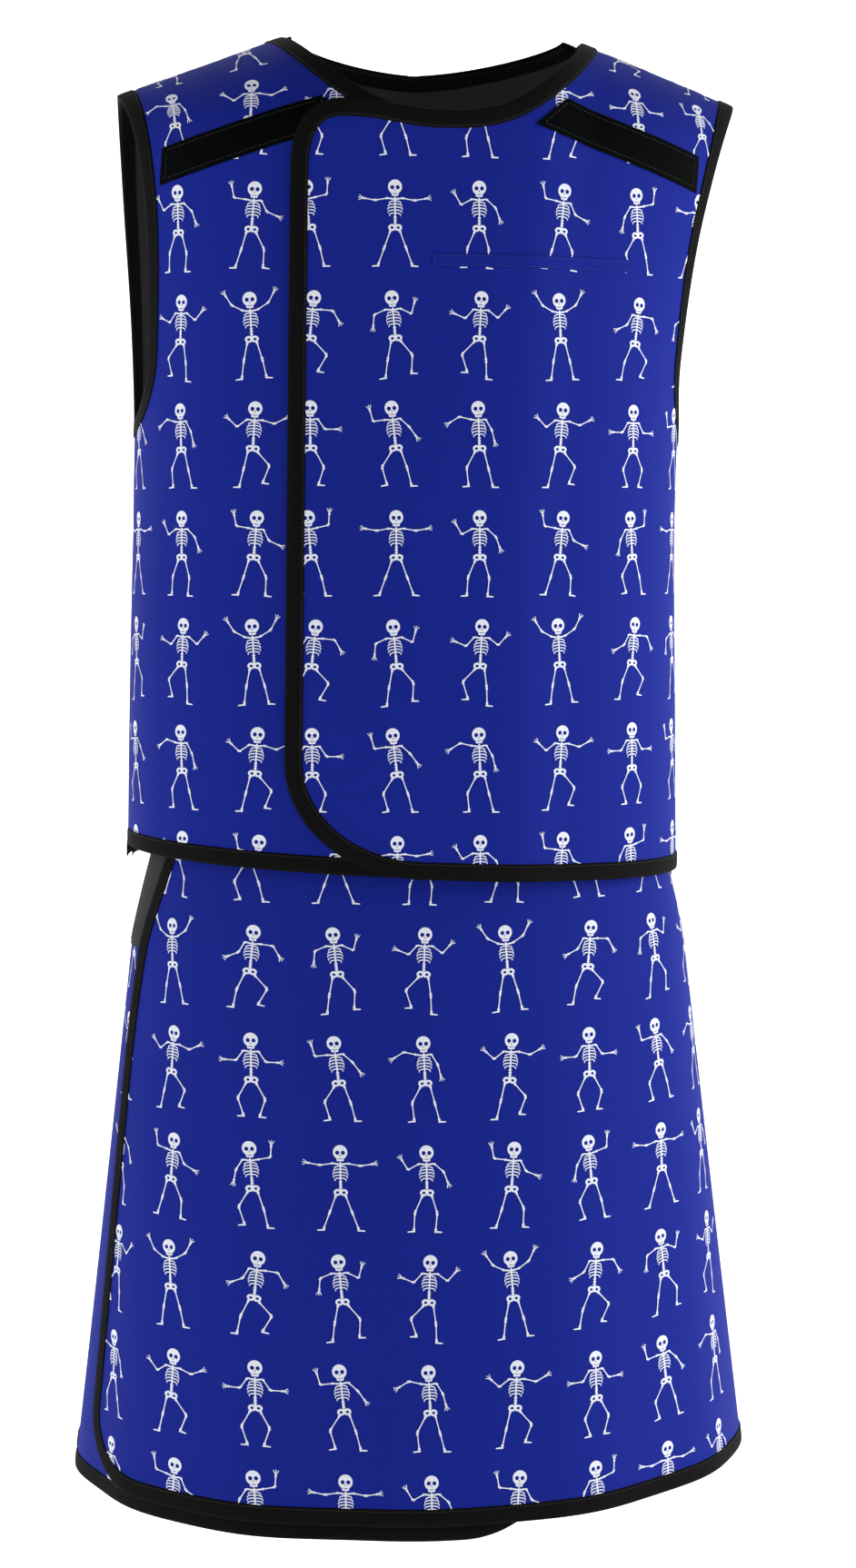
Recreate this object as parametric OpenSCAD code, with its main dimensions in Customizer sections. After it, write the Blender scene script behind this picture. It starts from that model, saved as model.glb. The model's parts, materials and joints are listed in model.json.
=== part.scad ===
// Two-piece wrap apron for radiation protection: a vest that closes across the front,
// worn over a wrap skirt. Origin at the centre of the skirt's waist, +Z up, front faces -Y,
// +X is the wearer's left. Millimetres.

/* [Vest] */
// Height of the vest's hem, below the waist
vest_hem_z = -137; // [-145:1:-130]
// Height of the armpits
pit_z = 181; // [170:1:190]
// Height of the shoulder tips
shoulder_z = 430; // [424:1:436]
// Height of the neck points
neck_z = 473; // [470:1:478]
// Half width of the chest, to the inside of the lining
chest_half_w = 203.5; // [203:0.5:207]
// Extra half width at the vest's hem
hip_ease = 4.5; // [4:0.5:8]
// Half width between the shoulder tips
tip_half_w = 231; // [226:1:236]
// Depth of the front at the hem
front_low = 146; // [146:1:152]
// Depth of the front at the shoulders
front_top = 132; // [126:1:138]
// Depth of the back at the hem
back_low = 146; // [146:1:152]
// Depth of the back at the shoulders
back_top = 116; // [112:1:122]
// Half width of the neck hole
neck_half_w = 114; // [110:1:118]
// Height of the front neckline at the middle
front_neck_z = 405; // [400:1:410]
// Height of the back neckline at the middle
back_neck_z = 458; // [454:1:462]
// Fold line of the over flap, from the middle
over_fold_x = 72; // [70:1:74]
// Free edge of the over flap at the hem
over_edge_x = -104; // [-108:1:-100]
// Fold line of the under flap, from the middle
under_fold_x = -45; // [-50:1:-42]
// Free edge of the under flap
under_edge_x = 22; // [10:1:30]

/* [Skirt] */
// Length of the over panel, from the waist
skirt_len = 600; // [590:1:610]
// How much longer the under panel is
under_extra = 12; // [8:1:16]
// Half width at the hem
hem_half_w = 255; // [250:1:260]
// Half depth at the hem
hem_half_d = 197; // [190:1:200]
// Half depth at the waist
waist_half_d = 112; // [106:1:113]
// Widening of each side for each millimetre down
side_slope = 0.11125; // [0.108:0.001:0.114]
// Hip curve: how much narrower the waist is than the straight sides
hip_curve = 33; // [32:1:38]
// Height of the waistband
band_h = 50; // [40:1:60]

/* [Fabric] */
// Width of the edge tape that shows on each side
tape_w = 12; // [10:1:14]
// Width of the shoulder webbing
webbing_w = 25.4; // [20:0.1:30]
// Distance between a folded-over layer and the layer it lies on
lap = 6; // [5.9:0.1:6.4]

/* [Hidden] */

// Layer stack of every panel, inner face to outer face
lining_t = [0, 0.5];
core_t = [0.6, 2.0];
bag_t = [2.08, 2.42];
shell_t = [2.5, 3.0];
tape_out_t = [3.05, 3.7];
tape_in_t = [-0.7, -0.05];
loop_t = [-0.75, -0.05];
pad_t = [-7, -0.9];
band_t = [3.05, 4.1];
waistband_t = [3.05, 5.2];
seam_gap = 0.1;
fold_gap = 0.5;
tape_edge = 0.7;

PRINT = "#1b2690";
BLACK = "#101113";
WEB = "#060606";
GREY = "#3a3b3d";
LEAD = "#6b6f73";
FOAM = "#55585c";

vest_run = shoulder_z - vest_hem_z;
flat_n = 2.4;
hem_tilt = 0.05;
hem_dip = 3;
lean_low = -5;
lean_top = 15;
ridge_slope = 0.364;
ridge_y = 5;
roll_h = 90;
front_curve = 2.4;
back_curve = 1.6;
front_flare = 45;
back_flare = 50;
arm_dip = 10;
waist_in_z = 100;

function smooth(q) = let(c = max(0, min(1, q))) c * c * (3 - 2 * c);
function mix(a, b, k) = a + (b - a) * k;
function steps(n, a = 0, b = 1) = [for (i = [0:n]) mix(a, b, i / n)];
// how far a rounded corner takes an edge in, at height q of the corner's h
function round_in(q, h, w) = q < h ? w * (1 - sqrt(1 - pow(1 - q / h, 2))) : 0;
// rows over a rounded corner h high
function corner_rows(n, h) = [for (i = [0:n]) h * (1 - cos(90 * i / n))];

// ---- the vest's surface: side -1 is the front, 1 the back; r runs across from the middle line,
// ---- w runs up from the hem, t runs out from the inside of the lining
function rise(w) = max(0, (vest_hem_z + w - pit_z) / (shoulder_z - pit_z));
function lean(w) = mix(lean_low, lean_top, pow(max(0, w) / vest_run, 3));
function flare(side, w) = side < 0 ? front_flare * pow(rise(w), 1.6) : back_flare * pow(rise(w), 1.2);
function half_w(side, w) = chest_half_w + flare(side, w)
    + hip_ease * max(0, min(1, (waist_in_z - vest_hem_z - w) / (waist_in_z - vest_hem_z)));
function depth(side, w) = side < 0 ? mix(front_low, front_top, w / vest_run)
    : mix(back_low, back_top, w / vest_run);
function arm_front(h) = chest_half_w + (tip_half_w - chest_half_w) * pow(h, 4)
    - arm_dip * (1 - pow(1 - min(1, 5 * h), 2)) * (1 - h);
function arm_back(h) = chest_half_w + (tip_half_w - chest_half_w) * pow(h, 1.4);
function side_r(side, w) = rise(w) <= 0 ? half_w(side, w) : side < 0 ? arm_front(rise(w)) : arm_back(rise(w));
function ridge_at(r) = neck_z - ridge_slope * (abs(r) - neck_half_w);
function neck_at(side, r) = let(q = min(1, abs(r) / neck_half_w))
    side < 0 ? mix(front_neck_z, neck_z, pow(q, front_curve)) : mix(back_neck_z, neck_z, pow(q, back_curve));
function top_at(side, r) = abs(r) < neck_half_w ? neck_at(side, r) : ridge_at(r);
function hem_at(side, r) = vest_hem_z - hem_tilt * r
    - (side < 0 ? hem_dip * max(0, 1 - pow(r / chest_half_w, 2)) : 0);
function height_of(side, r, w) = mix(hem_at(side, r), top_at(side, r), w / vest_run);
// height above the hem, in run, of a point at height z
function run_at(side, r, z) = (z - hem_at(side, r)) / (top_at(side, r) - hem_at(side, r)) * vest_run;
// a point that lies a drop below the shoulder line
function drop_at(side, r, drop, t) =
    let(z = ridge_at(r) - drop, w = max(0, min(vest_run, run_at(side, r, z))), W = half_w(side, w),
        cosine = max(0, min(1, 1 - drop / roll_h)), sine = sqrt(1 - pow(cosine, 2)),
        rr = r + t * sign(r) * pow(min(1, abs(r) / W), 3),
        q = pow(max(0, 1 - pow(min(1, abs(rr) / (W + t)), flat_n)), 1 / flat_n))
    [rr + lean(w), ridge_y * (1 - sine) + side * (depth(side, w) + t) * q * sine, z + t * cosine];
function vest_at(side, r, w, t) = drop_at(side, r, ridge_at(r) - height_of(side, r, w), t);
// the same surface by r and s, where s runs over the shoulder from the front to the back
over_mm = 2.2;
function s_of(side, r, z) = let(drop = ridge_at(r) - z)
    side * over_mm * (drop < roll_h ? acos(1 - drop / roll_h) : 90 + (drop - roll_h) / over_mm);
function round_at(r, s, t) = let(v = abs(s) / over_mm)
    drop_at(s < 0 ? -1 : 1, r, v < 90 ? roll_h * (1 - cos(v)) : roll_h + (v - 90) * over_mm, t);
// angles spread the columns evenly round the flattened section
function to_angle(r, W) = sign(r) * asin(pow(min(1, abs(r) / W), flat_n / 2));
function from_angle(b, W) = sign(b) * W * pow(abs(sin(b)), 2 / flat_n);
function across(side, lo, hi, u, w) = let(W = half_w(side, w))
    from_angle(mix(to_angle(lo, W), to_angle(hi, W), u), W);

// the left front lies over the right front, and comes down to its level past the fold line
lift_from = 62;
lift_over = 50;
function left_lift(r) = lap * (1 - smooth((r - lift_from) / lift_over));

// ---- the skirt's surface: a in degrees from the front, z height, t outwards
function skirt_w(z) = hem_half_w - side_slope * (z + skirt_len) - hip_curve * pow(max(0, 1 + z / 200), 1.2);
function skirt_d(z) = waist_half_d - (hem_half_d - waist_half_d) * z / skirt_len;
function skirt_at(a, z, t) = [(skirt_w(z) + t) * sin(a), -(skirt_d(z) + t) * cos(a), z];
function over_lift(a) = lap * smooth((90 - a) / 35);
mm_per_deg = 4;

// ---- solids: a slab between two offsets of a surface, and a folded tape along an edge
function quad(a, b, c, d) = [[a, b, c], [a, c, d]];
module slab(f, us, ws, ts) {
    n = len(us);
    m = len(ws);
    k = n * m;
    points = [for (t = ts) for (w = ws) for (u = us) f(u, w, t)];
    faces = [
        for (j = [0:m - 2]) for (i = [0:n - 2]) let(p = j * n + i)
            for (q = concat(quad(p, p + 1, p + n + 1, p + n),
                quad(k + p, k + p + n, k + p + n + 1, k + p + 1))) q,
        for (i = [0:n - 2]) let(p = (m - 1) * n + i)
            for (q = concat(quad(i, k + i, k + i + 1, i + 1), quad(p, p + 1, k + p + 1, k + p))) q,
        for (j = [0:m - 2]) let(p = j * n, e = j * n + n - 1)
            for (q = concat(quad(p, p + n, k + p + n, k + p), quad(e, k + e, k + e + n, e + n))) q];
    polyhedron(points, faces);
}
// how far to step along side for a strip w wide, measured on the surface
function reach(f, p, side, w, k = 1, n = 6) = n == 0 ? k
    : let(q = p + side * w * k, d = norm(f(q[0], q[1], 0) - f(p[0], p[1], 0)))
        reach(f, p, side, w, k * w / d, n - 1);
// path is a list of [across, up]; inward is 1 when the panel lies to the left of the path, -1 to the right
module tape(f, path, inward = 1, inner = tape_in_t, outer = tape_out_t) {
    n = len(path);
    profile = [[tape_w, outer[0]], [tape_w, outer[1]], [-tape_edge, outer[1]], [-tape_edge, inner[0]],
        [tape_w, inner[0]], [tape_w, inner[1]], [-seam_gap / 2, inner[1]], [-seam_gap / 2, outer[0]]];
    m = len(profile);
    points = [for (i = [0:n - 1])
        let(d = path[min(n - 1, i + 1)] - path[max(0, i - 1)], side = [-d[1], d[0]] * inward / norm(d),
            k = reach(f, path[i], side, tape_w))
        for (c = profile) let(q = path[i] + side * c[0] * (c[0] > 0 ? k : 1)) f(q[0], q[1], c[1])];
    faces = [
        for (i = [0:n - 2]) for (j = [0:m - 1]) let(a = i * m + j, b = i * m + (j + 1) % m)
            for (q = quad(a, b, b + m, a + m)) q,
        [7, 6, 3, 2], [7, 2, 1, 0], [6, 5, 4, 3],
        [for (c = [2, 3, 6, 7]) (n - 1) * m + c], [for (c = [0, 1, 2, 7]) (n - 1) * m + c],
        [for (c = [3, 4, 5, 6]) (n - 1) * m + c]];
    polyhedron(points, inward < 0 ? faces : [for (c = faces) [for (i = [len(c) - 1:-1:0]) c[i]]]);
}

// rows of the vest, closer together where it rolls over the shoulders
roll_w = vest_run - roll_h;
roll_ws = [for (i = [1:8]) mix(roll_w, vest_run, sin(90 * i / 8))];
pit_w = pit_z - vest_hem_z;
over_pit = 30;
vest_ws = concat(steps(4, 0, pit_w), steps(3, pit_w + over_pit, roll_w), roll_ws);
// columns of the vest: some up to near the neck point, two more to it, the rest by angle to the side
near_neck = [7, 1.8, 0];
function column(side, i, n_in, n_out, lo, hi, w) = i <= n_in ? mix(lo, neck_half_w - near_neck[0], i / n_in)
    : i <= n_in + 2 ? neck_half_w - near_neck[i - n_in]
    : across(side, neck_half_w, hi, (i - n_in - 2) / n_out, w);

// ---- flap outlines, in [x, w]
top_rx = 85;
top_rz = 90;
low_rx = 95;
low_rz = 76;
under_r = 40;
over_drift = 9;
function over_x(w) = mix(over_edge_x, over_edge_x + over_drift, w / vest_run)
    + round_in(w, low_rz, low_rx) + round_in(vest_run - w, top_rz, top_rx);
function under_x(w) = under_edge_x - round_in(w, under_r, under_r) - round_in(vest_run - w, under_r, under_r);
over_ws = concat(corner_rows(5, low_rz), steps(4, 2 * low_rz, roll_w), roll_ws);
under_ws = concat(corner_rows(4, under_r), steps(3, 3 * under_r, roll_w), roll_ws);

// ---- vest panels
function on_left(r, w, t) = vest_at(-1, r, w, t + left_lift(r));
function left_column(i, w, t) =
    on_left(column(-1, i, 2, 4, over_fold_x + fold_gap - lean(w), side_r(-1, w), w), w, t);
over_cols = 7;
function over_column(i, w, t) =
    on_left(across(-1, over_x(w) - lean(w), over_fold_x - fold_gap - lean(w), i / over_cols, w), w, t);
under_cols = 5;
function under_column(i, w, t) =
    vest_at(-1, across(-1, under_fold_x + fold_gap - lean(w), under_x(w) - lean(w), i / under_cols, w), w, t);
module vest_back(ts) {
    slab(function(i, w, t) vest_at(1, -sign(i) * column(1, abs(i), 3, 4, 0, side_r(1, w), w), w, t),
        steps(18, -9, 9), vest_ws, ts);
}
module vest_left_front(ts) { slab(function(i, w, t) left_column(i, w, t), steps(8, 0, 8), vest_ws, ts); }
module vest_right_front(ts) {
    slab(function(i, w, t)
            vest_at(-1, -column(-1, 8 - i, 2, 4, -under_fold_x + fold_gap + lean(w), side_r(-1, w), w), w, t),
        steps(8, 0, 8), vest_ws, ts);
}
module over_flap(ts) {
    slab(function(i, w, t) over_column(i, w, t), steps(over_cols, 0, over_cols), over_ws, ts);
}
module under_flap(ts) {
    slab(function(i, w, t) under_column(i, w, t), steps(under_cols, 0, under_cols), under_ws, ts);
}
module vest_back_shell() { color(PRINT) vest_back(shell_t); }
module vest_back_core() { color(LEAD) vest_back(core_t); }
module vest_back_lining() { color(GREY) vest_back(lining_t); }
module vest_left_front_shell() { color(PRINT) vest_left_front(shell_t); }
module vest_left_front_core() { color(LEAD) vest_left_front(core_t); }
module vest_left_front_lining() { color(GREY) vest_left_front(lining_t); }
module vest_right_front_shell() { color(PRINT) vest_right_front(shell_t); }
module vest_right_front_core() { color(LEAD) vest_right_front(core_t); }
module vest_right_front_lining() { color(GREY) vest_right_front(lining_t); }
module over_flap_shell() { color(PRINT) over_flap(shell_t); }
module over_flap_core() { color(LEAD) over_flap(core_t); }
module over_flap_lining() { color(GREY) over_flap(lining_t); }
module under_flap_shell() { color(PRINT) under_flap(shell_t); }
module under_flap_core() { color(LEAD) under_flap(core_t); }
module under_flap_lining() { color(GREY) under_flap(lining_t); }

// ---- vest bindings
function front_x(x, w, t) = vest_at(-1, x - lean(w), w, t);
function on_front(r, w, t) = vest_at(-1, r, w, t);
function on_back(b, w, t) = vest_at(1, -b, w, t);
before_corner = 4;
module over_flap_binding() {
    fold = over_fold_x - fold_gap;
    color(BLACK)
        tape(function(x, w, t) on_left(x - lean(w), w, t),
            concat([for (x = steps(4, fold, over_x(0) + before_corner)) [x, 0]],
                [for (w = over_ws) [over_x(w), w]],
                [for (x = steps(5, over_x(vest_run) + before_corner, fold)) [x, vest_run]]), inward = -1);
}
module under_flap_binding() {
    fold = under_fold_x + fold_gap;
    color(BLACK)
        tape(function(x, w, t) front_x(x, w, t),
            concat([for (x = steps(3, fold, under_x(0) - before_corner)) [x, 0]],
                [for (w = under_ws) [under_x(w), w]],
                [for (x = steps(3, under_x(vest_run) - before_corner, fold)) [x, vest_run]]));
}
// the neck's edge in r and s, from the left fold line over both neck points to the right one
function neck_point(side, r) = [r, s_of(side, r, neck_at(side, r))];
neck_close = 0.12;
module vest_neck_binding() {
    left_run = neck_half_w - (over_fold_x + fold_gap - lean_top);
    right_run = neck_half_w + (under_fold_x - fold_gap - lean_top);
    color(BLACK)
        tape(function(r, s, t) round_at(r, s, t + (s < 0 && r > 0 ? left_lift(r) : 0)),
            concat([for (k = steps(6, 1, neck_close)) neck_point(-1, neck_half_w - left_run * k * k)],
                [for (i = [0:14]) neck_point(1, neck_half_w * cos(180 * i / 14))],
                [for (k = steps(9, neck_close, 1)) neck_point(-1, right_run * k * k - neck_half_w)]),
            inward = -1);
}
module vest_hem_binding() {
    side = half_w(-1, 0) - seam_gap;
    left_start = over_fold_x + fold_gap - lean_low;
    right_start = under_fold_x - fold_gap - lean_low;
    color(BLACK) {
        tape(function(b, w, t) on_back(b, w, t),
            [for (u = steps(16)) [across(1, -side, side, u, 0), 0]]);
        tape(function(r, w, t) on_left(r, w, t),
            [for (u = steps(8)) [across(-1, left_start, side, u, 0), 0]]);
        tape(function(r, w, t) on_front(r, w, t),
            [for (u = steps(8)) [across(-1, -side, right_start, u, 0), 0]]);
    }
}
above_pit = 8;
module armhole_binding(s) {
    ws = concat(steps(8, pit_w + above_pit, roll_w),
        [for (i = [1:5]) mix(roll_w, vest_run - 1, sin(90 * i / 5))]);
    color(BLACK) {
        tape(function(r, w, t) s > 0 ? on_left(r, w, t) : on_front(r, w, t),
            [for (w = ws) [s * side_r(-1, w), w]], inward = s);
        tape(function(b, w, t) on_back(b, w, t), [for (w = ws) [-s * side_r(1, w), w]], inward = -s);
    }
}
module left_armhole_binding() { armhole_binding(1); }
module right_armhole_binding() { armhole_binding(-1); }

// ---- shoulders
seam_tape_r = [tip_half_w - tape_w - 2, neck_half_w + 10];
// each half's angles over the roll
seam_tape_a = [3.5, 1.75, 0.2];
module right_shoulder_seam_tape() {
    color(BLACK) for (side = [-1, 1])
        slab(function(u, w, t)
                vest_at(side, -mix(seam_tape_r[0], seam_tape_r[1], side < 0 ? u : 1 - u), w, t),
            steps(8), [for (a = seam_tape_a) vest_run - roll_h * (1 - cos(a))], tape_out_t);
}
// webbing across each shoulder, slanting down from the neckline to the armhole
band_z0 = 402.8;
band_slope = 0.31;
band_r0 = 88;
band_skew = 24;
// where its outer end meets the armhole, in [r, z]
band_end = [195, 366];
module shoulder_band(s) {
    end_r = side_r(-1, run_at(-1, band_end[0], band_end[1])) - tape_w - 1;
    color(WEB)
        slab(function(u, k, t)
                let(v = s > 0 ? u : 1 - u,
                    r = mix(band_r0 - band_skew * (1 - k), end_r, v),
                    z = band_z0 - band_slope * (r - band_r0) + (k - 0.5) * webbing_w)
                vest_at(-1, s * r, run_at(-1, s * r, z), t + (s > 0 ? left_lift(r) : 0)),
            steps(10), steps(3), band_t);
}
module left_shoulder_band() { shoulder_band(1); }
module right_shoulder_band() { shoulder_band(-1); }
pad_lo = 128;
pad_hi = 205;
pad_run = 70;
pad_taper = 20;
module shoulder_pad(s) {
    color(FOAM) for (side = [-1, 1])
        slab(function(u, w, t)
                let(v = s * side < 0 ? u : 1 - u,
                    ends = min(1, (pad_hi - pad_lo) / pad_taper * min(u, 1 - u)),
                    rim = min(1, (w - vest_run + pad_run) / pad_taper),
                    deep = mix(pad_t[1] - 1, pad_t[0], ends * rim))
                vest_at(side, s * mix(pad_lo, pad_hi, v), w, t == pad_t[0] ? deep : t),
            steps(6), [for (i = [0:6]) vest_run - seam_gap - pad_run * (1 - sin(90 * i / 6))], pad_t);
}
module left_shoulder_pad() { shoulder_pad(1); }
module right_shoulder_pad() { shoulder_pad(-1); }

// ---- chest pocket: a welt across the fold line, and its bag behind the shell, on the shell's columns
pocket_z = 305;
pocket_x = [2, 150];
welt_h = 9;
welt_t = [3.05, 3.6];
bag_w = [322, 440];
function on_lap(x, z, t) = let(w = run_at(-1, x, z)) on_left(x - lean(w), w, t);
module welt(x0, x1) {
    color(PRINT)
        slab(function(x, z, t) on_lap(x, z, t), steps(5, x0, x1), steps(2, pocket_z - welt_h, pocket_z),
            welt_t);
}
module pocket_welt() { welt(pocket_x[0], over_fold_x - fold_gap); }
module pocket_welt_end() { welt(over_fold_x + fold_gap, pocket_x[1]); }
module pocket_bag() {
    color(BLACK)
        slab(function(i, w, t) over_column(i, w, t), steps(3, 4, 7), steps(3, bag_w[0], bag_w[1]), bag_t);
}
module pocket_bag_end() {
    color(BLACK)
        slab(function(i, w, t) left_column(i, w, t), steps(5, 0, 5), steps(3, bag_w[0], bag_w[1]), bag_t);
}

// ---- hook and loop that holds the vest shut: hook on the under flap, loop inside the over flap
patch_x = [-40, 4];
patch_w = [[60, 160], [300, 400]];
module vest_hook_patches() {
    color(BLACK) for (w = patch_w)
        slab(function(x, w, t) front_x(x, w, t), steps(4, patch_x[0], patch_x[1]), steps(4, w[0], w[1]),
            tape_out_t);
}
module vest_loop_patches() {
    color(GREY) for (w = patch_w)
        slab(function(x, w, t) front_x(x, w, t + lap), steps(4, patch_x[0], patch_x[1]), steps(4, w[0], w[1]),
            loop_t);
}

// ---- skirt outlines, in [angle, height]
flap_top_z = -165;
over_free_a = -74;
over_free_ease = 6;
fold_low_a = -30;
slot = 1.2;
tape_start_a = 1.5;
under_free_a = 20;
corner_h = 50;
corner_a = 20;
under_corner_h = 60;
under_corner_a = 16;
function free_a(z) = over_free_a + over_free_ease * pow(max(0, (z + 300) / 160), 2)
    + round_in(z + skirt_len, corner_h, corner_a);
function fold_a(z) = mix(free_a(flap_top_z) + 3, fold_low_a, (flap_top_z - z) / (flap_top_z + skirt_len));
function under_a(z) = under_free_a - round_in(z + skirt_len + under_extra, under_corner_h, under_corner_a);
function over_left_a(z) = z > flap_top_z ? free_a(z) : fold_a(z) + slot / mm_per_deg;
// the hip's curve takes closer rows than the straight sides below it
hip_z = -200;
over_zs = concat(steps(5, -skirt_len, flap_top_z - 1), steps(4, flap_top_z + 1, 0));
corner_zs = concat([for (h = corner_rows(4, corner_h)) h - skirt_len],
    steps(6, 1.8 * corner_h - skirt_len, flap_top_z - 2));
under_zs = concat([for (h = corner_rows(4, under_corner_h)) h - skirt_len - under_extra],
    steps(4, 2.5 * under_corner_h - skirt_len, hip_z), steps(4, 0.75 * hip_z, 0));
back_zs = concat(steps(2, -skirt_len, hip_z), steps(4, 0.75 * hip_z, 0));

// ---- skirt panels
function on_skirt(a, z, t) = skirt_at(a, z, t);
function on_over(a, z, t) = skirt_at(a, z, t + over_lift(a));
module skirt_panel(f, lo, hi, cols, zs, ts) {
    slab(function(u, z, t) f(mix(lo(z), hi(z), u), z, t), steps(cols), zs, ts);
}
seam_a = 0.05;
module skirt_back(ts) {
    skirt_panel(function(a, z, t) on_skirt(a, z, t), function(z) 90 + seam_a, function(z) 270 - seam_a, 18,
        back_zs, ts);
}
module skirt_over(ts) {
    skirt_panel(function(a, z, t) on_over(a, z, t), function(z) over_left_a(z), function(z) 90 - seam_a, 16,
        over_zs, ts);
}
module skirt_corner(ts) {
    skirt_panel(function(a, z, t) on_over(a, z, t), function(z) free_a(z),
        function(z) fold_a(z) - slot / mm_per_deg, 6, corner_zs, ts);
}
module skirt_under(ts) {
    skirt_panel(function(a, z, t) on_skirt(a, z, t), function(z) -90 + seam_a, function(z) under_a(z), 11,
        under_zs, ts);
}
module skirt_back_shell() { color(PRINT) skirt_back(shell_t); }
module skirt_back_core() { color(LEAD) skirt_back(core_t); }
module skirt_back_lining() { color(GREY) skirt_back(lining_t); }
module skirt_over_shell() { color(PRINT) skirt_over(shell_t); }
module skirt_over_core() { color(LEAD) skirt_over(core_t); }
module skirt_over_lining() { color(GREY) skirt_over(lining_t); }
module skirt_corner_shell() { color(PRINT) skirt_corner(shell_t); }
module skirt_corner_core() { color(LEAD) skirt_corner(core_t); }
module skirt_corner_lining() { color(GREY) skirt_corner(lining_t); }
module skirt_under_shell() { color(PRINT) skirt_under(shell_t); }
module skirt_under_core() { color(LEAD) skirt_under(core_t); }
module skirt_under_lining() { color(GREY) skirt_under(lining_t); }

// ---- skirt bindings: the path runs in [mm across, height]
module skirt_tape(lift, path, inward) {
    tape(function(s, z, t) skirt_at(s / mm_per_deg, z, t + (lift ? over_lift(s / mm_per_deg) : 0)),
        [for (p = path) [p[0] * mm_per_deg, p[1]]], inward);
}
tape_top_z = -band_h - 4;
module skirt_over_binding() {
    color(BLACK) {
        skirt_tape(true,
            [for (a = steps(20, fold_low_a + slot / mm_per_deg, 90 - seam_a)) [a, -skirt_len]], 1);
        skirt_tape(true, [for (z = steps(5, flap_top_z + 4, tape_top_z)) [free_a(z), z]], -1);
    }
}
module skirt_corner_binding() {
    color(BLACK)
        skirt_tape(true,
            concat([for (a = steps(4, fold_low_a - tape_start_a, free_a(-skirt_len) + 1)) [a, -skirt_len]],
                [for (z = corner_zs) if (z < flap_top_z - tape_w) [free_a(z), z]]), -1);
}
module skirt_under_binding() {
    low = -skirt_len - under_extra;
    color(BLACK)
        skirt_tape(false,
            concat([for (a = steps(18, -90 + seam_a, under_a(low) - 1)) [a, low]],
                [for (z = under_zs) if (z < tape_top_z) [under_a(z), z]], [[under_a(0), tape_top_z]]), 1);
}
module skirt_back_binding() {
    color(BLACK) skirt_tape(false, [for (a = steps(22, 90 + seam_a, 270 - seam_a)) [a, -skirt_len]], 1);
}

// ---- skirt waist: band, closure and the tape down the right side seam
band_end_a = 0.5;
module skirt_waistband() {
    color(BLACK) {
        slab(function(a, z, t) on_skirt(a, z, t), steps(16, 90 + band_end_a, 270 - band_end_a),
            steps(2, -band_h, 0), waistband_t);
        slab(function(a, z, t) on_over(a, z, t), steps(16, free_a(-band_h) + 2 * band_end_a, 90 - band_end_a),
            steps(2, -band_h, 0), waistband_t);
    }
}
patch_a = [-89, -70];
patch_z = [-205, -60];
hook_z = -150;
hook_in_a = -50;
side_tape_a = [264, 270.6];
module skirt_loop_patch() {
    color(GREY)
        slab(function(a, z, t) on_skirt(a, z, t), steps(4, patch_a[0], patch_a[1]),
            steps(6, patch_z[0], patch_z[1]), tape_out_t);
}
module skirt_hook_patch() {
    color(BLACK)
        slab(function(u, z, t) on_over(mix(free_a(z) + band_end_a, hook_in_a, u), z, t), steps(3),
            steps(3, hook_z, patch_z[1]), loop_t);
}
module skirt_side_tape() {
    color(BLACK)
        slab(function(a, z, t) on_skirt(a, z, t), steps(2, side_tape_a[0], side_tape_a[1]),
            steps(8, patch_z[0], -band_h - seam_gap), tape_out_t);
}

vest_back_shell();
vest_back_core();
vest_back_lining();
vest_left_front_shell();
vest_left_front_core();
vest_left_front_lining();
vest_right_front_shell();
vest_right_front_core();
vest_right_front_lining();
over_flap_shell();
over_flap_core();
over_flap_lining();
under_flap_shell();
under_flap_core();
under_flap_lining();
over_flap_binding();
under_flap_binding();
vest_neck_binding();
vest_hem_binding();
left_armhole_binding();
right_armhole_binding();
right_shoulder_seam_tape();
left_shoulder_band();
right_shoulder_band();
left_shoulder_pad();
right_shoulder_pad();
pocket_welt();
pocket_welt_end();
pocket_bag();
pocket_bag_end();
vest_hook_patches();
vest_loop_patches();
skirt_waistband();
skirt_back_shell();
skirt_back_core();
skirt_back_lining();
skirt_over_shell();
skirt_over_core();
skirt_over_lining();
skirt_under_shell();
skirt_under_core();
skirt_under_lining();
skirt_corner_shell();
skirt_corner_core();
skirt_corner_lining();
skirt_over_binding();
skirt_under_binding();
skirt_back_binding();
skirt_corner_binding();
skirt_loop_patch();
skirt_hook_patch();
skirt_side_tape();
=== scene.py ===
"""Looks of a two-piece wrap apron: a vest and a wrap skirt of printed, tape-bound fabric.

Metres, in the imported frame: origin at the centre of the skirt's waist, +Z up, front faces -Y,
+X is the wearer's left. A vest point is given by side (-1 front, 1 back), r across from the middle
line, and its drop below the shoulder line. A skirt point is given by its angle from the front and
its height. t runs outwards from the inside of the lining.
"""

import json
import math

import bpy
import numpy as np
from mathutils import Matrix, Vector
from mathutils.geometry import delaunay_2d_cdt


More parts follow.
